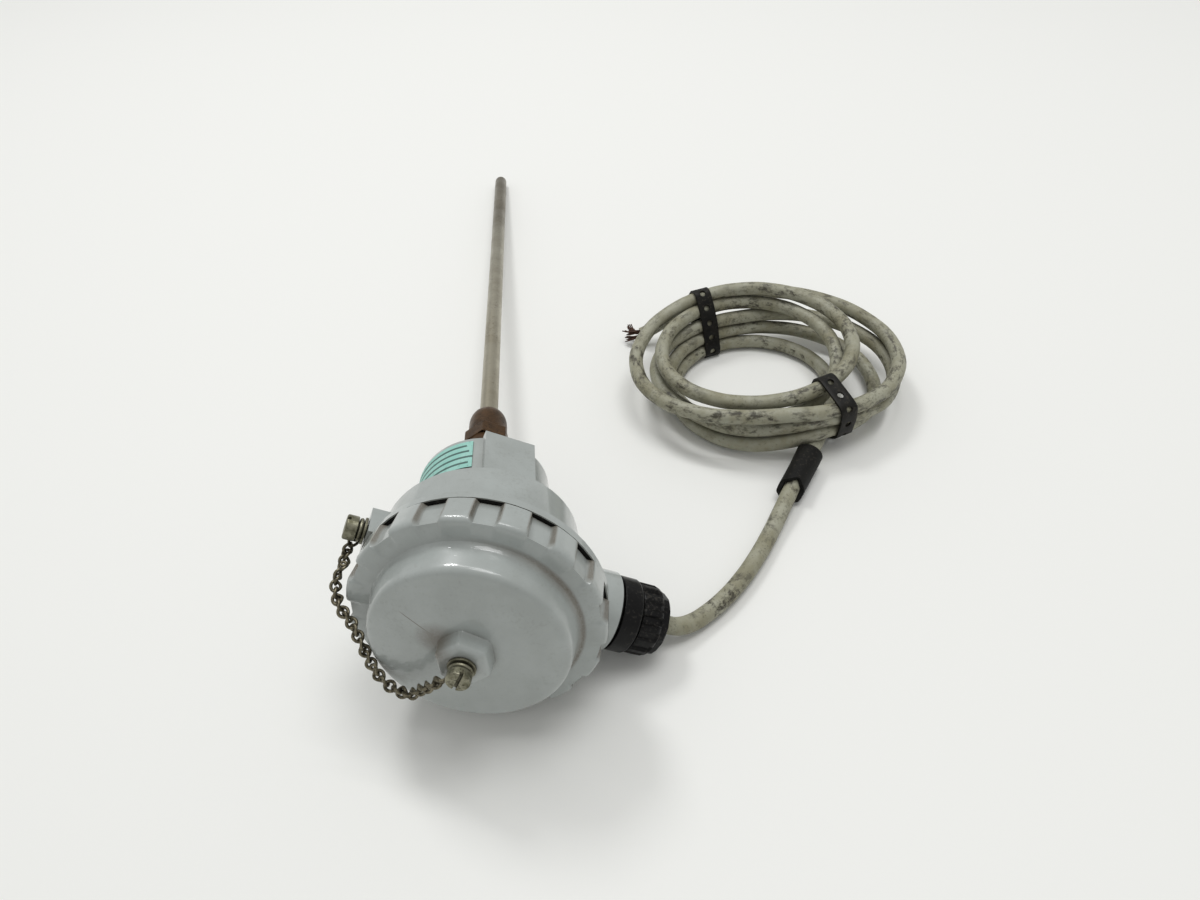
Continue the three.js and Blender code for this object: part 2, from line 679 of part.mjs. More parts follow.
// ---------------------------------------------------------------- lead on the surface
const runSteps = 25;
thermocouple.add(mesh('cable_run', finishes.cablePlastic, swept(runRoute, cableRadius, runSteps, 6)));
thermocouple.add(mesh('cable_tail', finishes.cablePlastic, swept(tailRoute, cableRadius, 10, 6)));

// A piece made along Z from 0, moved to run from one point towards another.
function along(geometry, from, to) {
  const start = new THREE.Vector3(...from);
  const direction = new THREE.Vector3(...to).sub(start).normalize();
  geometry.applyQuaternion(new THREE.Quaternion().setFromUnitVectors(new THREE.Vector3(0, 0, 1), direction));
  return geometry.translate(...from);
}

function distance(from, to) {
  return new THREE.Vector3(...from).distanceTo(new THREE.Vector3(...to));
}

const sleeveLength = distance(...sleeveEnds);
thermocouple.add(mesh('cable_sleeve', finishes.blackRubber,
  along(tube(cableRadius + fit, sleeveRadius, 0, sleeveLength, smallFacets), ...sleeveEnds)));

// The turns of the coil, as the ring that holds them.
const coil = tube(coilInnerRadius, coilOuterRadius, coilRaise, coilRaise + coilHeight, roundFacets);
coil.scale(coilStretch, 1, 1);
coil.translate(...coilCentre, 0);
thermocouple.add(mesh('cable_coil', finishes.cablePlastic, coil));

// A flat strap round the ring, square to it, at an angle about the coil's centre.
function tieStrap(angle) {
  const across = new THREE.Vector3(Math.cos(angle) * coilStretch, Math.sin(angle), 0);
  const outward = new THREE.Vector3(Math.cos(angle), Math.sin(angle) * coilStretch, 0).normalize();
  const middle = across.clone().multiplyScalar((coilInnerRadius + coilOuterRadius) / 2);
  const span = across.clone().multiplyScalar(coilOuterRadius - coilInnerRadius).dot(outward);
  const sweep = 2.2;
  const inside = span / 2 + sweep + fit;
  const outside = inside + tieThickness;
  const low = coilRaise - fit;
  const high = coilRaise + coilHeight + fit;
  const half = tieWidth / 2;
  const loop = shape(
    block([-outside, -half, low - tieThickness], [outside, half, high + tieThickness]),
    [],
    [block([-inside, -half - 1, low], [inside, half + 1, high])],
  );
  loop.rotateZ(Math.atan2(outward.y, outward.x));
  return loop.translate(coilCentre[0] + middle.x, coilCentre[1] + middle.y, 0);
}
tieAngles.forEach((angle, index) => {
  thermocouple.add(mesh(`tie_strap_${index + 1}`, finishes.blackPlastic, tieStrap(radians(angle))));
});

// The bare cores spread from the jacket's end.
const tailCurve = new THREE.CatmullRomCurve3(tailRoute.map((point) => new THREE.Vector3(...point)));
const jacketEnd = tailCurve.getPoint(1);
const tailHeading = tailCurve.getTangent(1);
const tailSide = new THREE.Vector3(0, 0, 1).cross(tailHeading).normalize();
coreEnds.forEach((end, index) => {
  const turn = (2 * Math.PI * index) / coreEnds.length;
  const offset = tailSide.clone().multiplyScalar(1.6).applyAxisAngle(tailHeading, turn);
  const start = jacketEnd.clone().addScaledVector(tailHeading, 2 * fit).add(offset);
  const middle = start.clone().addScaledVector(tailHeading, 3);
  const route = [start.toArray(), middle.toArray(), end];
  thermocouple.add(mesh(`lead_core_${index + 1}`, finishes.wireAlloy, swept(route, freeCoreRadius, 5, 4)));
});

export default thermocouple;
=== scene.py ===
import bisect
import json
import math
import random

import bmesh
import bpy
from mathutils import Matrix, Quaternion, Vector
from mathutils.geometry import interpolate_bezier

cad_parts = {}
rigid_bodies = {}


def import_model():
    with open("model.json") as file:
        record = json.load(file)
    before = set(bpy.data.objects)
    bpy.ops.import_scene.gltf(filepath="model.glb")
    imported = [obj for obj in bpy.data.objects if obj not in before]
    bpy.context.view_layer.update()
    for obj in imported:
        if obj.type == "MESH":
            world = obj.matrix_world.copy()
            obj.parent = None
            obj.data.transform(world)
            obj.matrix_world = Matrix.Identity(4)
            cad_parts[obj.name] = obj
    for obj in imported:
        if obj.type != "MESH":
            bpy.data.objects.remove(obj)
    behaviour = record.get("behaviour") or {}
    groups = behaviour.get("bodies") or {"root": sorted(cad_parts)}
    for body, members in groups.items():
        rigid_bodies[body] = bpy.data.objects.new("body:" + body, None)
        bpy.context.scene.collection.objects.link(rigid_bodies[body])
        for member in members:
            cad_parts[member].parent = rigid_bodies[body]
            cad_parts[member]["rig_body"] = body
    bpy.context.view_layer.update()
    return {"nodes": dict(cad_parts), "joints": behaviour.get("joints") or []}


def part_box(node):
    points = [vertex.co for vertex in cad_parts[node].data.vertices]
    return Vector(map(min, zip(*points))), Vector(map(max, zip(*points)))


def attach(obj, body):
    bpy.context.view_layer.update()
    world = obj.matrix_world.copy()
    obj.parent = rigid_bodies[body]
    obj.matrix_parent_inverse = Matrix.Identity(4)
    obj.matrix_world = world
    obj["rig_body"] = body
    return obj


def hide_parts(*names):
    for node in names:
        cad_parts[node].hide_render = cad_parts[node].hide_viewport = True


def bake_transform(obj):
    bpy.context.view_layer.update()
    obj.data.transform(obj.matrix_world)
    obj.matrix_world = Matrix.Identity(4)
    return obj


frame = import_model()

# ---------------------------------------------------------------- table, light and camera
# A pale seamless table under a broad soft light from above, seen by a hand-held camera from the
# cap end, looking down along the probe.
table_material = bpy.data.materials.new("table_paper")
table_material.use_nodes = True
table_shader = table_material.node_tree.nodes["Principled BSDF"]
table_shader.inputs["Base Color"].default_value = (0.86, 0.865, 0.84, 1)
table_shader.inputs["Roughness"].default_value = 0.6

table_mesh = bpy.data.meshes.new("table")
table_half = 6.0
table_mesh.from_pydata(
    [
        (-table_half, -table_half, 0), (table_half, -table_half, 0),
        (table_half, table_half, 0), (-table_half, table_half, 0),
    ],
    [],
    [(0, 1, 2, 3)],
)
table = bpy.data.objects.new("table", table_mesh)
table_mesh.materials.append(table_material)
bpy.context.collection.objects.link(table)

bpy.context.scene.view_settings.view_transform = "Standard"
world = bpy.data.worlds.new("studio")
bpy.context.scene.world = world
world.use_nodes = True
world.node_tree.nodes["Background"].inputs["Color"].default_value = (1.0, 1.0, 0.99, 1)
world.node_tree.nodes["Background"].inputs["Strength"].default_value = 0.50


def soft_light(name, place, target, size, watts, depth=None):
    lamp = bpy.data.lights.new(name, "AREA")
    lamp.shape = "ELLIPSE" if depth is None else "RECTANGLE"
    lamp.size = size
    lamp.size_y = size if depth is None else depth
    lamp.energy = watts
    holder = bpy.data.objects.new(name, lamp)
    holder.location = place
    holder.rotation_euler = (Vector(target) - Vector(place)).to_track_quat("-Z", "Y").to_euler()
    bpy.context.collection.objects.link(holder)


soft_light("window_light", (-0.6, 1.2, 2.1), (0, -0.1, 0), 0.6, 14.5)
soft_light("ceiling_light", (0.5, 0.1, 2.3), (0, -0.1, 0), 1.1, 13.5)
soft_light("tube_light", (0.25, 0.55, 1.9), (0, -0.15, 0), 1.9, 4.5, depth=0.07)

camera = bpy.data.cameras.new("camera")
camera.sensor_width = 36
camera.lens = 24.36
camera.clip_start = 0.01
viewer = bpy.data.objects.new("camera", camera)
view_right = Vector((0.9949, -0.0847, -0.0541)).normalized()
view_back = -Vector((0.0255, 0.7336, -0.6791)).normalized()
view_up = view_back.cross(view_right).normalized()
viewer.matrix_world = Matrix.Translation((0.02936, -0.35975, 0.26315)) @ Matrix(
    (view_right, view_up, view_back)
).transposed().to_4x4()
bpy.context.collection.objects.link(viewer)
bpy.context.scene.camera = viewer

# ---------------------------------------------------------------- lead
# A two-core lead with a soft round grey jacket. It leaves the gland, runs over the table through
# a rubber sleeve, makes nearly six turns held by two ties, and ends in bare cores.

def add(tree, kind, inputs=(), **settings):
    """A shader node with its settings made and its inputs linked or filled."""
    made = tree.nodes.new(kind)
    for name, value in settings.items():
        setattr(made, name, value)
    for key, value in dict(inputs).items():
        if isinstance(value, bpy.types.NodeSocket):
            tree.links.new(value, made.inputs[key])
        else:
            made.inputs[key].default_value = value
    return made


aged = bpy.data.node_groups.new("aged_surface", "ShaderNodeTree")
for socket_name, socket_kind in (
    ("Clean", "NodeSocketColor"), ("Mottled", "NodeSocketColor"), ("Dirt And Shade", "NodeSocketColor"),
    ("Roughness", "NodeSocketFloat"), ("Patch Scale", "NodeSocketFloat"), ("Patches", "NodeSocketFloat"),
    ("Specks", "NodeSocketFloat"), ("Scratches", "NodeSocketFloat"), ("Grime And Shade", "NodeSocketFloat"),
):
    aged.interface.new_socket(socket_name, in_out="INPUT", socket_type=socket_kind)
for socket_name, socket_kind in (("Color", "NodeSocketColor"), ("Roughness", "NodeSocketFloat"),
    ("Height", "NodeSocketFloat")):
    aged.interface.new_socket(socket_name, in_out="OUTPUT", socket_type=socket_kind)
given = aged.nodes.new("NodeGroupInput").outputs
place = add(aged, "ShaderNodeTexCoord").outputs["Object"]
patch_noise = add(aged, "ShaderNodeTexNoise", {"Vector": place, "Scale": given["Patch Scale"],
    "Detail": 6, "Roughness": 0.62})
patch_mask = add(aged, "ShaderNodeMapRange", {
    "Value": patch_noise.outputs["Fac"], "From Min": 0.40, "From Max": 0.64, "To Max": given["Patches"],
})
speck_noise = add(aged, "ShaderNodeTexNoise", {"Vector": place, "Scale": 900, "Detail": 3, "Roughness": 0.6})
cluster_noise = add(aged, "ShaderNodeTexNoise", {"Vector": place, "Scale": 70, "Detail": 4})
speck_level = add(aged, "ShaderNodeMath", {0: cluster_noise.outputs["Fac"], 1: 0.42,
    2: speck_noise.outputs["Fac"]}, operation="MULTIPLY_ADD")
speck_mask = add(aged, "ShaderNodeMapRange", {
    "Value": speck_level.outputs["Value"], "From Min": 0.80, "From Max": 0.88, "To Max": given["Specks"],
})
combed = add(aged, "ShaderNodeMapping", {"Vector": place, "Rotation": (0.5, 0.9, 0.4),
    "Scale": (30, 1300, 160)})
scratch_noise = add(aged, "ShaderNodeTexNoise", {"Vector": combed.outputs["Vector"], "Scale": 1, "Detail": 2})
scratch_mask = add(aged, "ShaderNodeMapRange", {
    "Value": scratch_noise.outputs["Fac"], "From Min": 0.70, "From Max": 0.76, "To Max": given["Scratches"],
})
# Where ambient occlusion is low (hollows, creases, and where parts meet each other or the table), the colour
# turns towards the dirt colour: partly grime, partly painted shade.
hollow = add(aged, "ShaderNodeAmbientOcclusion", {"Distance": 0.005}, samples=6)
grime_and_shade_level = add(aged, "ShaderNodeMapRange", {
    "Value": hollow.outputs["AO"], "From Min": 0.80, "From Max": 0.42, "To Max": given["Grime And Shade"],
})
grime_and_shade_mask = add(aged, "ShaderNodeMath", {0: grime_and_shade_level.outputs["Result"],
    1: cluster_noise.outputs["Fac"]}, operation="MULTIPLY")
coloured = add(aged, "ShaderNodeMix", {"Factor": patch_mask.outputs["Result"], 6: given["Clean"],
    7: given["Mottled"]}, data_type="RGBA")
dusted = add(aged, "ShaderNodeMix", {"Factor": speck_mask.outputs["Result"], 6: coloured.outputs[2],
    7: given["Dirt And Shade"]}, data_type="RGBA")
soiled_and_shaded = add(aged, "ShaderNodeMix", {"Factor": grime_and_shade_mask.outputs["Value"], 6: dusted.outputs[2],
    7: given["Dirt And Shade"]}, data_type="RGBA")
scuffed = add(aged, "ShaderNodeMix", {"Factor": scratch_mask.outputs["Result"], 6: soiled_and_shaded.outputs[2],
    7: given["Mottled"]}, data_type="RGBA")
dulled = add(aged, "ShaderNodeMath", {0: patch_mask.outputs["Result"], 1: 0.12, 2: given["Roughness"]},
    operation="MULTIPLY_ADD")
dirtied = add(aged, "ShaderNodeMath", {0: speck_mask.outputs["Result"], 1: 0.3,
    2: dulled.outputs["Value"]}, operation="MULTIPLY_ADD")
matted = add(aged, "ShaderNodeMath", {0: grime_and_shade_mask.outputs["Value"], 1: 0.4,
    2: dirtied.outputs["Value"]}, operation="MULTIPLY_ADD")
raised = add(aged, "ShaderNodeMath", {0: speck_noise.outputs["Fac"], 1: scratch_mask.outputs["Result"]},
    operation="SUBTRACT")
leaving = add(aged, "NodeGroupOutput")
aged.links.new(scuffed.outputs[2], leaving.inputs["Color"])
aged.links.new(matted.outputs["Value"], leaving.inputs["Roughness"])
aged.links.new(raised.outputs["Value"], leaving.inputs["Height"])


def aged_material(name, clean, mottled, dirt_and_shade, roughness, patch_scale, patches, specks, scratches,
                  grime_and_shade, grain, metallic=0.0, coat=0.0, gloss=0.5):
    """A worn finish: patches, specks, scratches, and grime with painted shade in the hollows and where parts
    meet, over one clean colour.
    """
    material = bpy.data.materials.new(name)
    material.use_nodes = True
    tree = material.node_tree
    shader = tree.nodes["Principled BSDF"]
    shader.inputs["Metallic"].default_value = metallic
    shader.inputs["Coat Weight"].default_value = coat
    shader.inputs["Specular IOR Level"].default_value = gloss
    shader.inputs["Coat Roughness"].default_value = 0.03
    wear = add(tree, "ShaderNodeGroup", {}, node_tree=aged)
    for key, value in (
        ("Clean", clean), ("Mottled", mottled), ("Dirt And Shade", dirt_and_shade), ("Roughness", roughness),
        ("Patch Scale", patch_scale), ("Patches", patches), ("Specks", specks), ("Scratches", scratches),
        ("Grime And Shade", grime_and_shade),
    ):
        wear.inputs[key].default_value = value
    bump = add(tree, "ShaderNodeBump", {"Height": wear.outputs["Height"], "Distance": grain, "Strength": 1.0})
    tree.links.new(wear.outputs["Color"], shader.inputs["Base Color"])
    tree.links.new(wear.outputs["Roughness"], shader.inputs["Roughness"])
    tree.links.new(bump.outputs["Normal"], shader.inputs["Normal"])
    return material


def mesh_piece(name, shape, sharp):
    """An object from a bmesh, shaded smooth except across edges sharper than the angle given."""
    data = bpy.data.meshes.new(name)
    shape.to_mesh(data)
    shape.free()
    data.shade_smooth()
    data.set_sharp_from_angle(angle=math.radians(sharp))
    piece = bpy.data.objects.new(name, data)
    bpy.context.collection.objects.link(piece)
    return piece


def axes_at(origin, side, axis):
    """A placement whose Z is the axis and whose X is as near to side as it can be."""
    z = axis.normalized()
    x = (side - z * side.dot(z)).normalized()
    return Matrix.Translation(origin) @ Matrix((x, z.cross(x), z)).transposed().to_4x4()


def lathe(name, rows, steps, place, shift, sharp=40):
    """A closed ring of (radius, height) rows turned about Z, each point moved by shift, then placed."""
    shape = bmesh.new()
    grid = []
    for index, (radius, height) in enumerate(rows):
        line = []
        for step in range(steps):
            angle = math.tau * step / steps
            far, high = shift(radius, height, angle, index)
            line.append(shape.verts.new(place @ Vector((far * math.cos(angle), far * math.sin(angle), high))))
        grid.append(line)
    for row, following in zip(grid, grid[1:] + grid[:1]):
        for step in range(steps):
            after = (step + 1) % steps
            shape.faces.new((row[step], row[after], following[after], following[step]))
    bmesh.ops.recalc_face_normals(shape, faces=shape.faces)
    return mesh_piece(name, shape, sharp)


def softened(node, width, angle=28, segments=3):
    """A copy of a CAD node with its flats made whole and its edges rounded, standing for the node."""
    source = frame["nodes"][node]
    shape = bmesh.new()
    shape.from_mesh(source.data)
    bmesh.ops.remove_doubles(shape, verts=shape.verts, dist=2e-6)
    bmesh.ops.dissolve_limit(
        shape, angle_limit=math.radians(0.8), verts=shape.verts, edges=shape.edges,
        use_dissolve_boundaries=False
    )
    piece = mesh_piece(node + "_surface", shape, angle)
    if width:
        rounded = piece.modifiers.new("rounded_edges", "BEVEL")
        rounded.limit_method = "ANGLE"
        rounded.angle_limit = math.radians(angle)
        rounded.width = width
        rounded.segments = segments
        rounded.harden_normals = True
    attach(piece, source["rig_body"])
    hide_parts(node)
    return piece


def dress(node, look):
    """Gives a CAD node that is shown as it is a worn finish."""
    shown = frame["nodes"][node].data
    shown.materials.clear()
    shown.materials.append(look)


joint_of = {joint["name"]: joint for joint in frame["joints"]}
lead_jacket = aged_material(
    "stained_jacket", clean=(0.345, 0.342, 0.262, 1), mottled=(0.225, 0.212, 0.135, 1),
    dirt_and_shade=(0.03, 0.024, 0.014, 1),
    roughness=0.5, patch_scale=75, patches=0.85, specks=0.35, scratches=0.35, grime_and_shade=0.8, grain=0.00006,
)
tree = lead_jacket.node_tree
jacket_shader = tree.nodes["Principled BSDF"]
jacket_colour = jacket_shader.inputs["Base Color"].links[0].from_socket
along_lead = add(tree, "ShaderNodeMapping", {"Vector": add(tree, "ShaderNodeTexCoord").outputs["UV"],
    "Scale": (260, 5, 1)})
rubbed = add(tree, "ShaderNodeTexNoise", {"Vector": along_lead.outputs["Vector"], "Scale": 1.0,
    "Detail": 7, "Roughness": 0.72})
rubbed_mask = add(tree, "ShaderNodeMapRange", {"Value": rubbed.outputs["Fac"], "From Min": 0.49,
    "From Max": 0.60, "To Max": 0.92})
stretch = add(tree, "ShaderNodeTexNoise", {"Vector": along_lead.outputs["Vector"], "Scale": 0.16,
    "Detail": 4})
stretch_mask = add(tree, "ShaderNodeMapRange", {"Value": stretch.outputs["Fac"], "From Min": 0.40,
    "From Max": 0.54})
smudge = add(tree, "ShaderNodeMath", {0: rubbed_mask.outputs["Result"],
    1: stretch_mask.outputs["Result"]}, operation="MULTIPLY")
smudged = add(tree, "ShaderNodeMix", {"Factor": smudge.outputs["Value"], 6: jacket_colour,
    7: (0.035, 0.03, 0.018, 1)}, data_type="RGBA")
tree.links.new(smudged.outputs[2], jacket_shader.inputs["Base Color"])
lead_radius = 0.0035
lead_run = [
    (0.0545, -0.1835, 0.0087), (0.0596, -0.1833, 0.0063), (0.0652, -0.1812, 0.0045),
    (0.0716, -0.1774, 0.0038), (0.0796, -0.1714, 0.0038), (0.0882, -0.1630, 0.0038),
    (0.0970, -0.1524, 0.0038), (0.1052, -0.1408, 0.0038), (0.1124, -0.1300, 0.0050),
    (0.1192, -0.1196, 0.0063), (0.1266, -0.1085, 0.0064), (0.1340, -0.0974, 0.0064),
]
lead_entry = [(0.1404, -0.0872, 0.0042), (0.1468, -0.0755, 0.0038), (0.1526, -0.0640, 0.0038)]
lead_tail = [(0.0986, 0.0090, 0.0206), (0.0900, 0.0092, 0.0166), (0.0826, 0.0088, 0.0124),
             (0.0755, 0.0078, 0.0090), (0.0695, 0.0066, 0.0070)]
coil_centre = Vector((0.122, -0.042, 0))
# How far each turn stands from the centre, and how high, at the right, back, left and front.
coil_reach = [36.5, 37.5, 42, 49, 57, 41, 44.5, 46.5, 66, 42, 50.5, 39.8,
              37.5, 45.5, 47.3, 38.4, 44.3, 47.5, 60.6, 47.5, 67.7, 53.5]
coil_height = [3.8, 3.8, 3.8, 4.6, 5.2, 9.9, 10.3, 11.6, 12, 16.7, 14.5, 15,
               22, 23.6, 22.4, 24.2, 28.8, 30.4, 20.5, 23, 19.3, 24.5]


def eased(values, place):
    """A smooth value between the quarter-turn values on either side of place."""
    low = max(0, min(int(place), len(values) - 2))
    share = place - low
    before, after = values[max(low - 1, 0)], values[min(low + 2, len(values) - 1)]
    start, end = values[low], values[low + 1]
    rise_in, rise_out = (end - before) / 2, (after - start) / 2
    square, cube = share * share, share ** 3
    return (
        start * (2 * cube - 3 * square + 1) + rise_in * (cube - 2 * square + share)
        + end * (3 * square - 2 * cube) + rise_out * (cube - square)
    )


coil_points = []
for step in range(4 * 21 + 1):
    quarter = step / 4
    angle = math.radians(90 * quarter)
    reach = eased(coil_reach, quarter) / 1000
    height = eased(coil_height, quarter) / 1000
    for crossing in (3.25, 7.25):
        height += 0.0066 * math.exp(-(((quarter - crossing) / 0.32) ** 2))
    coil_points.append(coil_centre + Vector((math.cos(angle) * reach, math.sin(angle) * reach, height)))

lead_curve = bpy.data.curves.new("lead", "CURVE")
lead_curve.dimensions = "3D"
# Each knot's radius is the lead's own, on a bevel of one metre, so the curve's box is the lead's.
lead_curve.bevel_depth = 1.0
lead_curve.bevel_resolution = 5
lead_curve.resolution_u = 6
lead_spline = lead_curve.splines.new("BEZIER")
lead_points = [Vector(p) for p in lead_run + lead_entry] + coil_points + [Vector(p) for p in lead_tail]
lead_spline.bezier_points.add(len(lead_points) - 1)
for knot, point in zip(lead_spline.bezier_points, lead_points):
    knot.co = point
    knot.radius = lead_radius
    knot.handle_left_type = knot.handle_right_type = "AUTO"
lead_curve.use_fill_caps = True
lead = bpy.data.objects.new("lead", lead_curve)
bpy.context.collection.objects.link(lead)
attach(lead, "head")
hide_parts("cable_run", "cable_coil", "cable_tail")
lead_curve.materials.append(lead_jacket)
# ---------------------------------------------------------------- sleeve on the lead
# A short cut of black rubber tube pushed along the lead to where the coil begins. It is a little
# flared at the coil end and torn at a slant at the other.
black_rubber = aged_material(
    "worn_rubber", clean=(0.005, 0.005, 0.0045, 1), mottled=(0.010, 0.010, 0.008, 1),
    dirt_and_shade=(0.045, 0.04, 0.034, 1),
    roughness=0.6, patch_scale=260, patches=0.7, specks=0.5, scratches=0.3, grime_and_shade=0.0, grain=0.00006,
    gloss=0.18,
)
sleeve_axis = (Vector(lead_run[-1]) - Vector(lead_run[-3])).normalized()
sleeve_low, sleeve_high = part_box("cable_sleeve")
sleeve_middle = (sleeve_low + sleeve_high) / 2
sleeve_half = 0.0122


def sleeve_shape(radius, height, angle, row):
    """Flares the coil end and tears the other end into one long lip."""
    share = (height + sleeve_half) / (2 * sleeve_half)
    flare = 1 + 0.07 * share ** 3 + 0.02 * math.sin(3 * angle + 4 * share)
    tear = (1 - share) * (0.0030 * math.cos(angle - 0.4) + 0.0007 * math.sin(5 * angle) - 0.0010)
    return radius * flare, height + tear


sleeve_rows = [(0.00385, -sleeve_half), (0.0047, -sleeve_half - 0.0001), (0.0056, -sleeve_half)]
sleeve_rows += [(0.0057, -sleeve_half + step * 0.0022) for step in range(1, 10)]
sleeve_rows += [(0.0056, sleeve_half), (0.0047, sleeve_half + 0.0001), (0.00385, sleeve_half)]
sleeve = lathe(
    "lead_sleeve", sleeve_rows, 40, axes_at(sleeve_middle, Vector((0, 0, 1)), sleeve_axis), sleeve_shape
)
sleeve.data.materials.append(black_rubber)
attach(sleeve, "head")
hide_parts("cable_sleeve")

# ---------------------------------------------------------------- ties round the coil
# Two punched black plastic straps pulled tight round all the strands. Each strap's end stands off
# the strap below it and is torn across a hole, which leaves a fork.
tie_plastic = aged_material(
    "worn_strap", clean=(0.006, 0.006, 0.005, 1), mottled=(0.014, 0.012, 0.009, 1),
    dirt_and_shade=(0.06, 0.052, 0.04, 1),
    roughness=0.42, patch_scale=240, patches=0.6, specks=0.45, scratches=0.5, grime_and_shade=0.2, grain=0.00004,
    gloss=0.18,
)
lead_line = []
bpy.context.view_layer.update()
for first, second in zip(lead_spline.bezier_points, lead_spline.bezier_points[1:]):
    lead_line += interpolate_bezier(first.co, first.handle_right, second.handle_left, second.co, 13)[:-1]


strand_reach = lead_radius + 0.0006
strap_low = 0.0006


def tie_strap(number, start_share, shift):
    """A strap along the tightest loop round the strands where they cross the tie's plane."""
    low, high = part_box(f"tie_strap_{number}")
    centre = (low + high) / 2 + Vector(shift)
    outward = Vector((centre.x - coil_centre.x, (centre.y - coil_centre.y) * 1.31 ** 2, 0)).normalized()
    along = Vector((0, 0, 1)).cross(outward)
    rims = []
    for before, after in zip(lead_line, lead_line[1:]):
        near, far = (before - centre).dot(along), (after - centre).dot(along)
        if near * far > 0 or near == far or (before - centre).length > 0.045:
            continue
        place = before.lerp(after, near / (near - far)) - centre
        for step in range(24):
            turn = math.tau * step / 24
            height = max(place.z + math.sin(turn) * strand_reach, strap_low - centre.z)
            rims.append((place.dot(outward) + math.cos(turn) * strand_reach, height))
    rims.sort()
    hull = []
    for ordered in (rims, rims[::-1]):
        start = len(hull)
        for point in ordered:
            while len(hull) >= start + 2:
                (ax, ay), (bx, by) = hull[-2], hull[-1]
                if (bx - ax) * (point[1] - ay) - (by - ay) * (point[0] - ax) > 0:
                    break
                hull.pop()
            hull.append(point)
        hull.pop()
    corners = [Vector(point) for point in hull]
    lengths = [(b - a).length for a, b in zip(corners, corners[1:] + corners[:1])]
    around = sum(lengths)
    cells = round(around / 0.0078) + 1
    pitch = around / (cells - 1.0)
    half = 0.0043
    hole = 0.0015

    def place_at(distance, across):
        rest = (distance + start_share * around) % around
        index = 0
        while rest > lengths[index]:
            rest -= lengths[index]
            index = (index + 1) % len(corners)
        a, b = corners[index], corners[(index + 1) % len(corners)]
        spot = a.lerp(b, rest / lengths[index])
        normal = Vector((b.y - a.y, a.x - b.x)).normalized()
        extra = max(distance - around + 0.5 * pitch, 0)
        lift = min(extra / 0.002, 1) * 0.0012 + (extra / 0.01) ** 2 * 0.0035
        spot = spot + normal * lift
        return centre + outward * spot.x + along * across + Vector((0, 0, spot.y))

    shape = bmesh.new()
    for cell in range(cells):
        middle = (cell + 0.5) * pitch
        last = cell == cells - 1
        rim, edge = [], []
        for step in range(24):
            turn = math.tau * step / 24
            dx, dy = math.cos(turn), math.sin(turn)
            stretch = 1 / max(abs(dx), abs(dy))
            rim.append((middle + dx * hole, dy * hole, dx))
            edge.append((middle + dx * stretch * pitch / 2, dy * stretch * half, dx))
        for step in range(24):
            after = (step + 1) % 24
            corner = [rim[step], edge[step], edge[after], rim[after]]
            sides = [point[2] for point in corner]
            if last and min(sides) > -1e-6 and max(sides) > 1e-6:
                continue
            shape.faces.new([shape.verts.new(place_at(point[0], point[1])) for point in corner])
    bmesh.ops.remove_doubles(shape, verts=shape.verts, dist=1e-5)
    bmesh.ops.recalc_face_normals(shape, faces=shape.faces)
    piece = mesh_piece(f"tie_{number}", shape, 40)
    thick = piece.modifiers.new("thickness", "SOLIDIFY")
    thick.thickness = 0.0010
    thick.offset = 0
    soft = piece.modifiers.new("soft_edges", "BEVEL")
    soft.width = 0.00018
    soft.segments = 2
    soft.limit_method = "ANGLE"
    soft.angle_limit = math.radians(50)
    piece.data.materials.append(tie_plastic)
    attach(piece, "head")
    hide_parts(f"tie_strap_{number}")
    return piece


ties = [tie_strap(1, 0.22, (0, 0, 0)), tie_strap(2, 0.02, (-0.003, -0.0016, 0))]

# ---------------------------------------------------------------- bare ends of the lead
# Three stripped conductors spread out of the jacket, dark with oxide.
oxidised_wire = aged_material(
    "oxidised_wire", clean=(0.075, 0.030, 0.016, 1), mottled=(0.022, 0.011, 0.007, 1),
    dirt_and_shade=(0.008, 0.006, 0.004, 1),
    roughness=0.5, patch_scale=600, patches=0.8, specks=0.5, scratches=0.4, grime_and_shade=0.3, grain=0.00003,
    metallic=0.5,
)
fray = random.Random(11)
core_start = Vector(lead_tail[-1])
core_heading = (Vector(lead_tail[-1]) - Vector(lead_tail[-2])).normalized()
for number, core_end in enumerate(((0.0602, 0.0090, 0.0030), (0.0606, 0.0128, 0.0050),
    (0.0634, 0.0164, 0.0070)), 1):
    strands = bpy.data.curves.new(f"frayed_core_{number}", "CURVE")
    strands.dimensions = "3D"
    strands.bevel_depth = 0.00032
    strands.bevel_resolution = 2
    strands.resolution_u = 5
    strands.use_fill_caps = True
    around = Vector((0, 0, 1)).cross(core_heading)
    root = core_start + Quaternion(core_heading, math.tau * (number - 1) / 3) @ around * 0.0015
    for strand in range(9):
        spread = Vector((fray.uniform(-1, 1), fray.uniform(-1, 1), fray.uniform(-0.8, 0.8)))
        spline = strands.splines.new("BEZIER")
        spline.bezier_points.add(2)
        shorter = fray.uniform(0.7, 1.05)
        tip = root.lerp(Vector(core_end), shorter) + spread * 0.0017
        tip.z = max(tip.z, 0.0009)
        bend = root.lerp(tip, 0.55) + core_heading * 0.0012 + spread * 0.0002
        strand_root = root - core_heading * 0.001 + spread * 0.0004
        for knot, point in zip(spline.bezier_points, (strand_root, bend, tip)):
            knot.co = point
            knot.handle_left_type = knot.handle_right_type = "AUTO"
    strands.materials.append(oxidised_wire)
    core = bpy.data.objects.new(f"frayed_core_{number}", strands)
    bpy.context.collection.objects.link(core)
    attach(core, "head")
    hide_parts(f"lead_core_{number}")


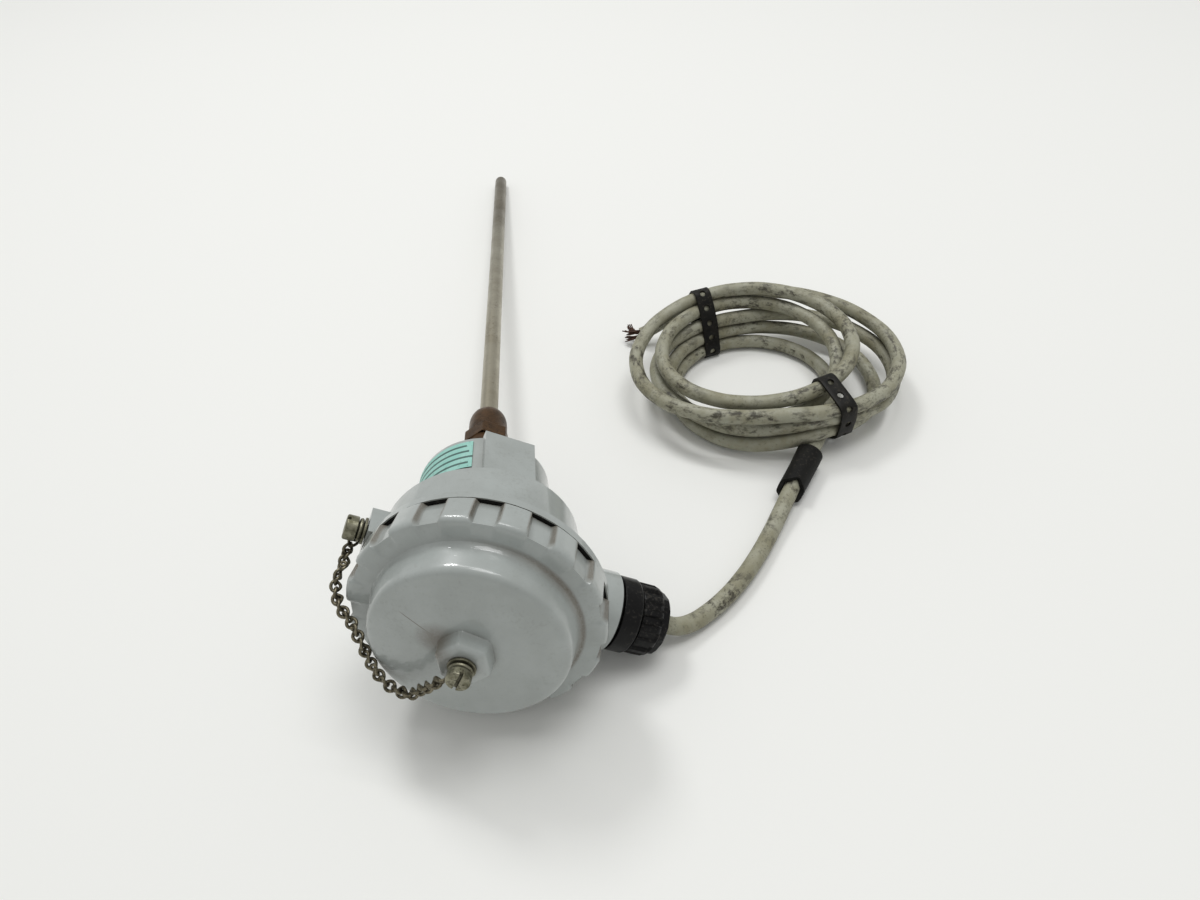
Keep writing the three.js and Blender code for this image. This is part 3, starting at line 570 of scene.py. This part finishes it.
# ---------------------------------------------------------------- head body
# One grey moulding: a round neck with two flats, the ring that takes the cap, the cable entry
# and the chain lug. The gloss is worn, and grime with painted shade darkens the corners.
head_plastic = aged_material(
    "worn_head_plastic", clean=(0.375, 0.405, 0.392, 1), mottled=(0.315, 0.340, 0.325, 1),
    dirt_and_shade=(0.085, 0.072, 0.048, 1), roughness=0.30, patch_scale=55, patches=0.8, specks=0.10, scratches=0.4,
    grime_and_shade=1.5, grain=0.000012, coat=0.7,
)
head = softened("head_body", 0.0008, 24, 4)
head.data.materials.append(head_plastic)

# ---------------------------------------------------------------- joint gasket
# A flat black rubber ring seated on the head's spigot, pinched by the cap.
gasket = softened("cap_gasket", 0.0003)
gasket.data.materials.append(black_rubber)

# ---------------------------------------------------------------- screw cap
# The cap screws onto the spigot: a scalloped grip ring, a raised disc and a hexagonal boss on it,
# hollow behind, with a hole through the boss for the chain's screw.
cap_joint = joint_of["cap_turn"]
cap_axis = Vector(cap_joint["axis"]).normalized()
gland_axis = Vector(joint_of["gland_nut_turn"]["axis"]).normalized()
cap_side = (gland_axis - cap_axis * gland_axis.dot(cap_axis)).normalized()
cap_place = axes_at(Vector(cap_joint["pos_m"]), cap_side, cap_axis)
to_cap = cap_place.inverted()
hex_corner = max(
    (to_cap @ vertex.co for vertex in frame["nodes"]["screw_cap"].data.vertices
        if (to_cap @ vertex.co).z > 0.0295),
    key=lambda point: math.hypot(point.x, point.y),
)
hex_angle = math.atan2(hex_corner.y, hex_corner.x)
pad_count = 15
pad_start = math.radians(82.5)
pad_half = math.asin(0.0043 / 0.0435)
bore_radius = 0.0370
grip_rows = [(0.0423, 0.0000), (0.0429, 0.0006), (0.0430, 0.0020), (0.0431, 0.0040), (0.0432, 0.0060),
             (0.0433, 0.0078), (0.0434, 0.0094), (0.0433, 0.0104), (0.0429, 0.0111), (0.0422, 0.0115)]
disc_rows = [(0.0405, 0.01155), (0.0380, 0.01155), (0.0362, 0.0116), (0.0351, 0.0119), (0.0345, 0.0126),
             (0.0341, 0.0140), (0.0337, 0.0165), (0.0333, 0.0200), (0.0331, 0.0211), (0.03275, 0.0218),
             (0.0322, 0.0223), (0.0315, 0.02265), (0.0306, 0.0228), (0.0290, 0.0230), (0.0262, 0.02325),
             (0.0220, 0.0236), (0.0170, 0.0239), (0.0125, 0.0241), (0.0112, 0.02415)]
boss_rows = [(0.00865, 0.0243), (0.00842, 0.0249), (0.00832, 0.0262), (0.00820, 0.0280), (0.00812, 0.0291),
             (0.00800, 0.0294), (0.00735, 0.0300), (0.00715, 0.0301)]
under_rows = [(0.0055, 0.0302), (0.0024, 0.0302), (0.0022, 0.0299), (0.0022, 0.0202), (0.0026, 0.0199),
              (0.0150, 0.0199), (0.0296, 0.0199), (0.0301, 0.0194), (0.0301, 0.0095), (0.0310, 0.0094),
              (bore_radius, 0.0094)]
under_rows += [(bore_radius - 0.0003 * (step % 2), 0.0088 - step * 0.0010) for step in range(8)]
under_rows += [(bore_radius, 0.0003), (bore_radius + 0.0003, 0.0)]
first_disc = len(grip_rows)
first_boss = first_disc + len(disc_rows)
first_under = first_boss + len(boss_rows)


def cap_shape(radius, height, angle, row):
    """Cuts the finger pads into the grip ring and gives the boss its six sides."""
    if row < first_disc + 1:
        away = (angle - pad_start) % (math.tau / pad_count)
        away = min(away, math.tau / pad_count - away)
        share = min(max((pad_half + 0.010 - away) / 0.030, 0), 1)
        share = share * share * (3 - 2 * share)
        depth = 0.0415 - 0.0006 * max(0, 1 - height / 0.004)
        flat = depth / math.cos(min(away, pad_half))
        front = min(max((0.0120 - height) / 0.0016, 0), 1)
        cut = max(radius - flat + 0.0003, 0) * share
        radius -= cut * (0.45 + 0.55 * front)
        return radius, height - 0.0009 * share * (1 - front) * (1 if row >= first_disc - 3 else 0)
    if first_boss <= row < first_under:
        turn = (angle - hex_angle) % (math.pi / 3) - math.pi / 6
        corner = 0.0089 + (radius - 0.0083)
        return min(radius / math.cos(turn), corner + 0.0004), height
    return radius, height


cap_plastic = head_plastic.copy()
cap_plastic.name = "worn_cap_plastic"
tree = cap_plastic.node_tree
cap_shader = tree.nodes["Principled BSDF"]
plain_colour = cap_shader.inputs["Base Color"].links[0].from_socket
place = add(tree, "ShaderNodeVectorMath", {
    0: add(tree, "ShaderNodeTexCoord").outputs["Object"], 1: cap_place.to_translation(),
}, operation="SUBTRACT")
cap_x, cap_y, cap_z = (
    add(tree, "ShaderNodeVectorMath", {0: place.outputs["Vector"], 1: cap_place.col[index].to_3d()},
        operation="DOT_PRODUCT").outputs["Value"]
    for index in range(3)
)
flat_place = add(tree, "ShaderNodeCombineXYZ", {"X": cap_x, "Y": cap_y})
from_axis = add(tree, "ShaderNodeVectorMath", {0: flat_place.outputs["Vector"]}, operation="LENGTH")
from_smudge = add(tree, "ShaderNodeVectorMath", {0: flat_place.outputs["Vector"], 1: (-0.0105, 0.0005, 0)},
                  operation="DISTANCE")
blotch = add(tree, "ShaderNodeTexNoise", {"Scale": 420, "Detail": 6, "Roughness": 0.7})
smudge_edge = add(tree, "ShaderNodeMapRange", {
    "Value": from_smudge.outputs["Value"], "From Min": 0.0075, "From Max": 0.0015, "To Max": 1.0,
})
groove_far = add(tree, "ShaderNodeMath", {0: from_axis.outputs["Value"], 1: 0.0353}, operation="SUBTRACT")
groove_away = add(tree, "ShaderNodeMath", {0: groove_far.outputs["Value"]}, operation="ABSOLUTE")
groove = add(tree, "ShaderNodeMapRange", {
    "Value": groove_away.outputs["Value"], "From Min": 0.0014, "From Max": 0.0004, "To Max": 1.0,
})
groove_side = add(tree, "ShaderNodeMapRange", {"Value": cap_x, "From Min": -0.018, "From Max": 0.016})
groove_mask = add(tree, "ShaderNodeMath", {0: groove.outputs["Result"], 1: groove_side.outputs["Result"]},
                  operation="MULTIPLY")
turn_angle = add(tree, "ShaderNodeMath", {0: cap_y, 1: cap_x}, operation="ARCTAN2")
pad_turn = add(tree, "ShaderNodeMath", {0: turn_angle.outputs["Value"], 1: pad_start}, operation="SUBTRACT")
pad_away = add(tree, "ShaderNodeMath", {0: pad_turn.outputs["Value"], 1: math.tau / pad_count / 2},
    operation="PINGPONG")
wall_away = add(tree, "ShaderNodeMath", {0: pad_away.outputs["Value"], 1: pad_half}, operation="SUBTRACT")
wall_near = add(tree, "ShaderNodeMath", {0: wall_away.outputs["Value"]}, operation="ABSOLUTE")
wall = add(tree, "ShaderNodeMapRange", {
    "Value": wall_near.outputs["Value"], "From Min": 0.022, "From Max": 0.006, "To Max": 0.95,
})
pad_zone = add(tree, "ShaderNodeMath", {0: from_axis.outputs["Value"], 1: 0.0405}, operation="GREATER_THAN")
pad_deep = add(tree, "ShaderNodeMapRange", {"Value": cap_z, "From Min": 0.0112, "From Max": 0.0085})
wall_zone = add(tree, "ShaderNodeMath", {0: wall.outputs["Result"], 1: pad_zone.outputs["Value"]},
    operation="MULTIPLY")
wall_mask = add(tree, "ShaderNodeMath", {0: wall_zone.outputs["Value"], 1: pad_deep.outputs["Result"]},
                operation="MULTIPLY")
wall_soil = add(tree, "ShaderNodeMath", {0: wall_mask.outputs["Value"], 1: groove_mask.outputs["Value"]},
                operation="MAXIMUM")
soil = add(tree, "ShaderNodeMath", {0: smudge_edge.outputs["Result"], 1: wall_soil.outputs["Value"]},
           operation="MAXIMUM")
soil_noise = add(tree, "ShaderNodeMapRange", {"Value": blotch.outputs["Fac"], "From Min": 0.36,
    "From Max": 0.54})
soil_mask = add(tree, "ShaderNodeMath", {0: soil.outputs["Value"], 1: soil_noise.outputs["Result"]},
                operation="MULTIPLY")
line_height = add(tree, "ShaderNodeMath", {0: cap_x, 1: -0.32, 2: -0.0022}, operation="MULTIPLY_ADD")
line_away = add(tree, "ShaderNodeMath", {0: cap_y, 1: line_height.outputs["Value"]}, operation="SUBTRACT")
line_near = add(tree, "ShaderNodeMath", {0: line_away.outputs["Value"]}, operation="ABSOLUTE")
line = add(tree, "ShaderNodeMapRange", {
    "Value": line_near.outputs["Value"], "From Min": 0.00028, "From Max": 0.00008, "To Max": 0.75,
})
line_end = add(tree, "ShaderNodeMapRange", {"Value": cap_x, "From Min": -0.0105, "From Max": -0.0125})
line_start = add(tree, "ShaderNodeMapRange", {"Value": cap_x, "From Min": -0.0250, "From Max": -0.0225})
line_span = add(tree, "ShaderNodeMath", {0: line_end.outputs["Result"], 1: line_start.outputs["Result"]},
                operation="MULTIPLY")
line_mask = add(tree, "ShaderNodeMath", {0: line.outputs["Result"], 1: line_span.outputs["Value"]},
                operation="MULTIPLY")
marks = add(tree, "ShaderNodeMath", {0: soil_mask.outputs["Value"], 1: line_mask.outputs["Value"]},
            operation="MAXIMUM")
marked = add(tree, "ShaderNodeMix", {"Factor": marks.outputs["Value"], 6: plain_colour,
    7: (0.11, 0.085, 0.055, 1)}, data_type="RGBA")
tree.links.new(marked.outputs[2], cap_shader.inputs["Base Color"])
cap = lathe("screw_cap_moulding", grip_rows + disc_rows + boss_rows + under_rows, 480, cap_place,
    cap_shape, sharp=32)
cap.data.materials.append(cap_plastic)
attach(cap, "cap")
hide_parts("screw_cap")

# ---------------------------------------------------------------- chain screws and rings
# A slotted brass screw, once nickel plated, holds a wire ring over a washer on the cap's boss,
# and another does the same on the lug.
aged_nickel = aged_material(
    "aged_nickel", clean=(0.28, 0.27, 0.20, 1), mottled=(0.11, 0.105, 0.062, 1), dirt_and_shade=(0.025, 0.02, 0.012, 1),
    roughness=0.36, patch_scale=420, patches=0.85, specks=0.55, scratches=0.55, grime_and_shade=0.9, grain=0.00004,
    metallic=0.85,
)
for name, width in (("cap_washer", 0.00015), ("cap_chain_screw", 0.0004), ("lug_washer", 0.00015),
                    ("lug_screw", 0.0005), ("cap_chain_ring", 0), ("lug_chain_ring", 0)):
    made = softened(name, width, 34)
    made.data.materials.append(aged_nickel)

# ---------------------------------------------------------------- retaining chain
# A light curb chain of bent wire links, tarnished nearly black, that hangs from the lug's ring
# past the edge of the cap to the ring on its boss.
chain_metal = aged_material(
    "chain_metal", clean=(0.24, 0.215, 0.15, 1), mottled=(0.055, 0.048, 0.03, 1),
    dirt_and_shade=(0.014, 0.011, 0.007, 1),
    roughness=0.34, patch_scale=700, patches=0.9, specks=0.5, scratches=0.3, grime_and_shade=1.0, grain=0.00003,
    metallic=0.85,
)
chain_route = [
    (-0.0490, -0.1688, 0.0580), (-0.0502, -0.1704, 0.0571), (-0.0523, -0.1732, 0.0556),
    (-0.0532, -0.1787, 0.0545), (-0.0548, -0.1837, 0.0538), (-0.0545, -0.1887, 0.0525),
    (-0.0526, -0.1940, 0.0512), (-0.0500, -0.1969, 0.0482), (-0.0484, -0.1998, 0.0452),
    (-0.0466, -0.2030, 0.0424), (-0.0450, -0.2062, 0.0390), (-0.0431, -0.2090, 0.0362),
    (-0.0406, -0.2115, 0.0330), (-0.0363, -0.2142, 0.0315), (-0.0319, -0.2166, 0.0327),
    (-0.0273, -0.2183, 0.0375), (-0.0233, -0.2201, 0.0418), (-0.0208, -0.2204, 0.0441),
    (-0.0196, -0.2206, 0.0450),
]
chain_knots = [Vector(point) for point in chain_route]
chain_fine = []
for index in range(len(chain_knots) - 1):
    p0, p3 = chain_knots[max(index - 1, 0)], chain_knots[min(index + 2, len(chain_knots) - 1)]
    p1, p2 = chain_knots[index], chain_knots[index + 1]
    for step in range(10):
        share = step / 10
        chain_fine.append(0.5 * (
            2 * p1 + (p2 - p0) * share + (2 * p0 - 5 * p1 + 4 * p2 - p3) * share ** 2
            + (3 * p1 - p0 - 3 * p2 + p3) * share ** 3
        ))
chain_fine.append(chain_knots[-1])
chain_marks = [0.0]
for before, after in zip(chain_fine, chain_fine[1:]):
    chain_marks.append(chain_marks[-1] + (after - before).length)
link_pitch = 0.00245
link_count = round(chain_marks[-1] / link_pitch)
link_long, link_wide, link_wire = 0.00185, 0.00158, 0.00056
chance = random.Random(7)
chain_mesh = bmesh.new()
for link in range(link_count + 1):
    target = chain_marks[-1] * link / link_count
    at = min(bisect.bisect_left(chain_marks, target), len(chain_fine) - 2)
    middle = chain_fine[at]
    heading = (chain_fine[min(at + 3, len(chain_fine) - 1)] - chain_fine[max(at - 3, 0)]).normalized()
    side = heading.cross(cap_axis).normalized()
    roll = Quaternion(heading, math.radians(42 if link % 2 else -42) + chance.uniform(-0.25, 0.25))
    side = roll @ side
    lift = heading.cross(side)
    rings = []
    for step in range(20):
        turn = math.tau * step / 20
        forward, out = math.cos(turn), math.sin(turn)
        twist = math.radians(38) * forward
        sideways = side * math.cos(twist) + lift * math.sin(twist)
        spot = heading * (link_long * forward) + sideways * (link_wide * out)
        outer = (heading * forward / link_long + side * out / link_wide).normalized()
        rings.append([
            chain_mesh.verts.new(middle + spot + (outer * math.cos(a) + lift * math.sin(a)) * link_wire)
            for a in (math.tau * k / 8 for k in range(8))
        ])
    for step, ring in enumerate(rings):
        following = rings[(step + 1) % 20]
        for k in range(8):
            chain_mesh.faces.new((ring[k], ring[(k + 1) % 8], following[(k + 1) % 8], following[k]))
bmesh.ops.recalc_face_normals(chain_mesh, faces=chain_mesh.faces)
chain = mesh_piece("chain_links", chain_mesh, 80)
chain.data.materials.append(chain_metal)
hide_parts("retaining_chain")
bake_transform(chain)

# ---------------------------------------------------------------- process fitting and probe
# The stem screws into a brass compression fitting, brown with heat, whose nut and olive grip the
# long stainless sheath.
tarnished_brass = aged_material(
    "tarnished_brass", clean=(0.085, 0.042, 0.014, 1), mottled=(0.034, 0.017, 0.006, 1),
    dirt_and_shade=(0.010, 0.006, 0.003, 1),
    roughness=0.36, patch_scale=180, patches=0.8, specks=0.5, scratches=0.4, grime_and_shade=0.8, grain=0.00004,
    metallic=0.35, gloss=0.3,
)
bright_brass = aged_material(
    "bright_brass", clean=(0.52, 0.37, 0.16, 1), mottled=(0.33, 0.22, 0.09, 1), dirt_and_shade=(0.07, 0.045, 0.02, 1),
    roughness=0.28, patch_scale=300, patches=0.5, specks=0.2, scratches=0.5, grime_and_shade=0.5, grain=0.00002,
    metallic=1,
)
for name, width, metal in (("process_fitting", 0.0004, tarnished_brass),
    ("compression_nut", 0.0004, tarnished_brass),
                           ("ferrule", 0.0001, bright_brass)):
    made = softened(name, width, 28)
    made.data.materials.append(metal)

probe = softened("probe_sheath", 0.0002, 40)
probe_low, probe_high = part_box("probe_sheath")
probe_steel = aged_material(
    "heat_stained_steel", clean=(0.45, 0.44, 0.37, 1), mottled=(0.32, 0.30, 0.24, 1),
    dirt_and_shade=(0.06, 0.052, 0.04, 1),
    roughness=0.34, patch_scale=60, patches=0.8, specks=0.3, scratches=0.6, grime_and_shade=0.2, grain=0.00002,
    metallic=0.9,
)
tree = probe_steel.node_tree
probe_shader = tree.nodes["Principled BSDF"]
before_stain = probe_shader.inputs["Base Color"].links[0].from_socket
spot = add(tree, "ShaderNodeSeparateXYZ", {0: add(tree, "ShaderNodeTexCoord").outputs["Object"]})
share = add(tree, "ShaderNodeMapRange", {
    "Value": spot.outputs["Y"], "From Min": probe_low.y, "From Max": probe_high.y,
})
smear = add(tree, "ShaderNodeTexNoise", {"Scale": 95, "Detail": 5})
along_stem = add(tree, "ShaderNodeMath", {0: smear.outputs["Fac"], 1: 0.11, 2: share.outputs["Result"]},
                 operation="MULTIPLY_ADD")
stain = add(tree, "ShaderNodeValToRGB", {"Fac": along_stem.outputs["Value"]})
while len(stain.color_ramp.elements) < 6:
    stain.color_ramp.elements.new(0.5)
for element, (place, tint) in zip(stain.color_ramp.elements, (
    (0.00, (0.80, 0.74, 0.66, 1)), (0.45, (1.0, 0.97, 0.92, 1)), (0.72, (0.86, 0.84, 0.80, 1)),
    (0.86, (0.42, 0.38, 0.33, 1)), (0.90, (0.62, 0.58, 0.53, 1)), (1.00, (0.50, 0.47, 0.43, 1)),
)):
    element.position = place
    element.color = tint
tinted = add(tree, "ShaderNodeMix", {"Factor": 1.0, 6: before_stain, 7: stain.outputs["Color"]},
             data_type="RGBA", blend_type="MULTIPLY")
tree.links.new(tinted.outputs[2], probe_shader.inputs["Base Color"])
probe.data.materials.append(probe_steel)

# ---------------------------------------------------------------- cable gland
# A black nylon gland screwed into the cable entry over a rubber washer. Its ribbed nut presses a
# ring on a rubber seal that grips the lead.
gland_plastic = aged_material(
    "dusty_black_plastic", clean=(0.004, 0.004, 0.004, 1), mottled=(0.007, 0.007, 0.007, 1),
    dirt_and_shade=(0.11, 0.10, 0.085, 1), roughness=0.30, patch_scale=200, patches=0.5, specks=0.22, scratches=0.25,
    grime_and_shade=0.0, grain=0.00003, gloss=0.18,
)
gland_place = axes_at(Vector(joint_of["gland_nut_turn"]["pos_m"]), Vector((0, 0, 1)), gland_axis)


def stations(name):
    """The first and last station of a node along the gland's axis."""
    heights = [(gland_place.inverted() @ vertex.co).z for vertex in frame["nodes"][name].data.vertices]
    return min(heights), max(heights)


nut_from, nut_to = stations("gland_nut")


def nut_shape(radius, height, angle, row):
    """Raises fourteen grip ribs on the nut's barrel and flattens its end into six sides."""
    station = height - nut_from
    if radius > 0.0118 and 0.0006 < station < 0.0078:
        wave = min(max(1.6 * math.cos(14 * angle) + 0.3, 0.0), 1.0)
        return radius - 0.0011 * (1 - wave), height
    if radius > 0.0105 and station > 0.0085:
        turn = angle % (math.pi / 3) - math.pi / 6
        return min(radius, 0.0108 / math.cos(turn)), height
    return radius, height


nut_rows = [(0.0105, nut_from), (0.0124, nut_from), (0.0127, nut_from + 0.0003)]
nut_rows += [(0.0130, nut_from + 0.0008 + step * 0.0009) for step in range(8)]
nut_rows += [(0.0126, nut_from + 0.0079), (0.0119, nut_from + 0.0084), (0.0116, nut_from + 0.0088)]
nut_rows += [(0.0116, nut_from + 0.0096), (0.0116, nut_to - 0.0006), (0.0111, nut_to - 0.0001),
    (0.0106, nut_to)]
nut_rows += [(0.0080, nut_to), (0.0064, nut_to), (0.0062, nut_to - 0.0002), (0.0062, nut_to - 0.0040),
             (0.0105, nut_to - 0.0040)]
gland_nut = lathe("gland_nut_moulding", nut_rows, 216, gland_place, nut_shape, sharp=35)
gland_nut.data.materials.append(gland_plastic)
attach(gland_nut, "gland_cap")
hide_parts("gland_nut")
for name, width in (("gland_body", 0.0004), ("gland_clamp_ring", 0.0002)):
    made = softened(name, width, 28)
    made.data.materials.append(gland_plastic)
for name, width in (("gland_seal", 0.0004), ("gland_gasket", 0.0002)):
    made = softened(name, width, 28)
    made.data.materials.append(black_rubber)
jacket_end = softened("cable_in_gland", 0.0001, 40)
jacket_end.data.materials.append(lead_jacket)

# ---------------------------------------------------------------- printed label
# A pale film label stuck round the neck, rubbed at its edges, with rows of plain printed bars.
label_film = aged_material(
    "worn_label", clean=(0.27, 0.56, 0.49, 1), mottled=(0.38, 0.62, 0.56, 1), dirt_and_shade=(0.10, 0.13, 0.10, 1),
    roughness=0.5, patch_scale=160, patches=0.6, specks=0.4, scratches=0.5, grime_and_shade=0.0, grain=0.00001,
)
label_low, label_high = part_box("neck_label")
label_centre = (label_low + label_high) / 2
stem_axis = -Vector(joint_of["fitting_nut_turn"]["axis"]).normalized()
tree = label_film.node_tree
label_shader = tree.nodes["Principled BSDF"]
film_colour = label_shader.inputs["Base Color"].links[0].from_socket
place = add(tree, "ShaderNodeVectorMath", {0: add(tree, "ShaderNodeTexCoord").outputs["Object"],
    1: label_centre},
            operation="SUBTRACT")
down = add(tree, "ShaderNodeVectorMath", {0: place.outputs["Vector"], 1: stem_axis}, operation="DOT_PRODUCT")
across = add(tree, "ShaderNodeVectorMath", {0: place.outputs["Vector"], 1: gland_axis},
    operation="DOT_PRODUCT")
rows = add(tree, "ShaderNodeMath", {0: down.outputs["Value"], 1: 300.0}, operation="MULTIPLY")
row = add(tree, "ShaderNodeMath", {0: rows.outputs["Value"]}, operation="FLOOR")
within = add(tree, "ShaderNodeMath", {0: rows.outputs["Value"]}, operation="FRACT")
inked = add(tree, "ShaderNodeMath", {0: within.outputs["Value"], 1: 0.45, 2: 0.17}, operation="COMPARE")
reach = add(tree, "ShaderNodeTexWhiteNoise", {"W": row.outputs["Value"]}, noise_dimensions="1D")
limit = add(tree, "ShaderNodeMath", {0: reach.outputs["Value"], 1: 0.010, 2: 0.002}, operation="MULTIPLY_ADD")
inside = add(tree, "ShaderNodeMath", {0: across.outputs["Value"], 1: limit.outputs["Value"]},
    operation="LESS_THAN")
bar = add(tree, "ShaderNodeMath", {0: inked.outputs["Value"], 1: inside.outputs["Value"]},
    operation="MULTIPLY")
ink = add(tree, "ShaderNodeMath", {0: bar.outputs["Value"], 1: 0.85}, operation="MULTIPLY")
printed = add(tree, "ShaderNodeMix", {"Factor": ink.outputs["Value"], 6: film_colour,
    7: (0.02, 0.05, 0.045, 1)}, data_type="RGBA")
tree.links.new(printed.outputs[2], label_shader.inputs["Base Color"])
label = softened("neck_label", 0, 40)
label.data.materials.append(label_film)

# ---------------------------------------------------------------- terminals inside the head
# A glazed block carries two brass posts. Each screw presses a clamp plate on a lead core and a
# thermocouple wire, which run down the probe in a ceramic insulator to the hot junction.
ceramic = aged_material(
    "ceramic", clean=(0.76, 0.72, 0.62, 1), mottled=(0.68, 0.63, 0.53, 1), dirt_and_shade=(0.30, 0.25, 0.18, 1),
    roughness=0.5, patch_scale=150, patches=0.5, specks=0.3, scratches=0.1, grime_and_shade=0.5, grain=0.00002,
)
red_core = aged_material(
    "red_core", clean=(0.36, 0.035, 0.022, 1), mottled=(0.28, 0.03, 0.02, 1), dirt_and_shade=(0.12, 0.03, 0.02, 1),
    roughness=0.42, patch_scale=300, patches=0.4, specks=0.1, scratches=0.1, grime_and_shade=0.2, grain=0.00001,
)
white_core = aged_material(
    "white_core", clean=(0.74, 0.72, 0.66, 1), mottled=(0.66, 0.63, 0.56, 1), dirt_and_shade=(0.35, 0.31, 0.24, 1),
    roughness=0.42, patch_scale=300, patches=0.4, specks=0.1, scratches=0.1, grime_and_shade=0.2, grain=0.00001,
)
for name, look in (
    ("terminal_block", ceramic), ("ceramic_insulator", ceramic), ("inner_core_red", red_core),
    ("inner_core_white", white_core), ("block_screw_1", probe_steel), ("block_screw_2", probe_steel),
    ("terminal_post_1", bright_brass), ("terminal_post_2", bright_brass), ("clamp_plate_1", bright_brass),
    ("clamp_plate_2", bright_brass), ("terminal_screw_1", bright_brass), ("terminal_screw_2", bright_brass),
    ("positive_wire", oxidised_wire), ("negative_wire", oxidised_wire), ("hot_junction", oxidised_wire),
):
    dress(name, look)
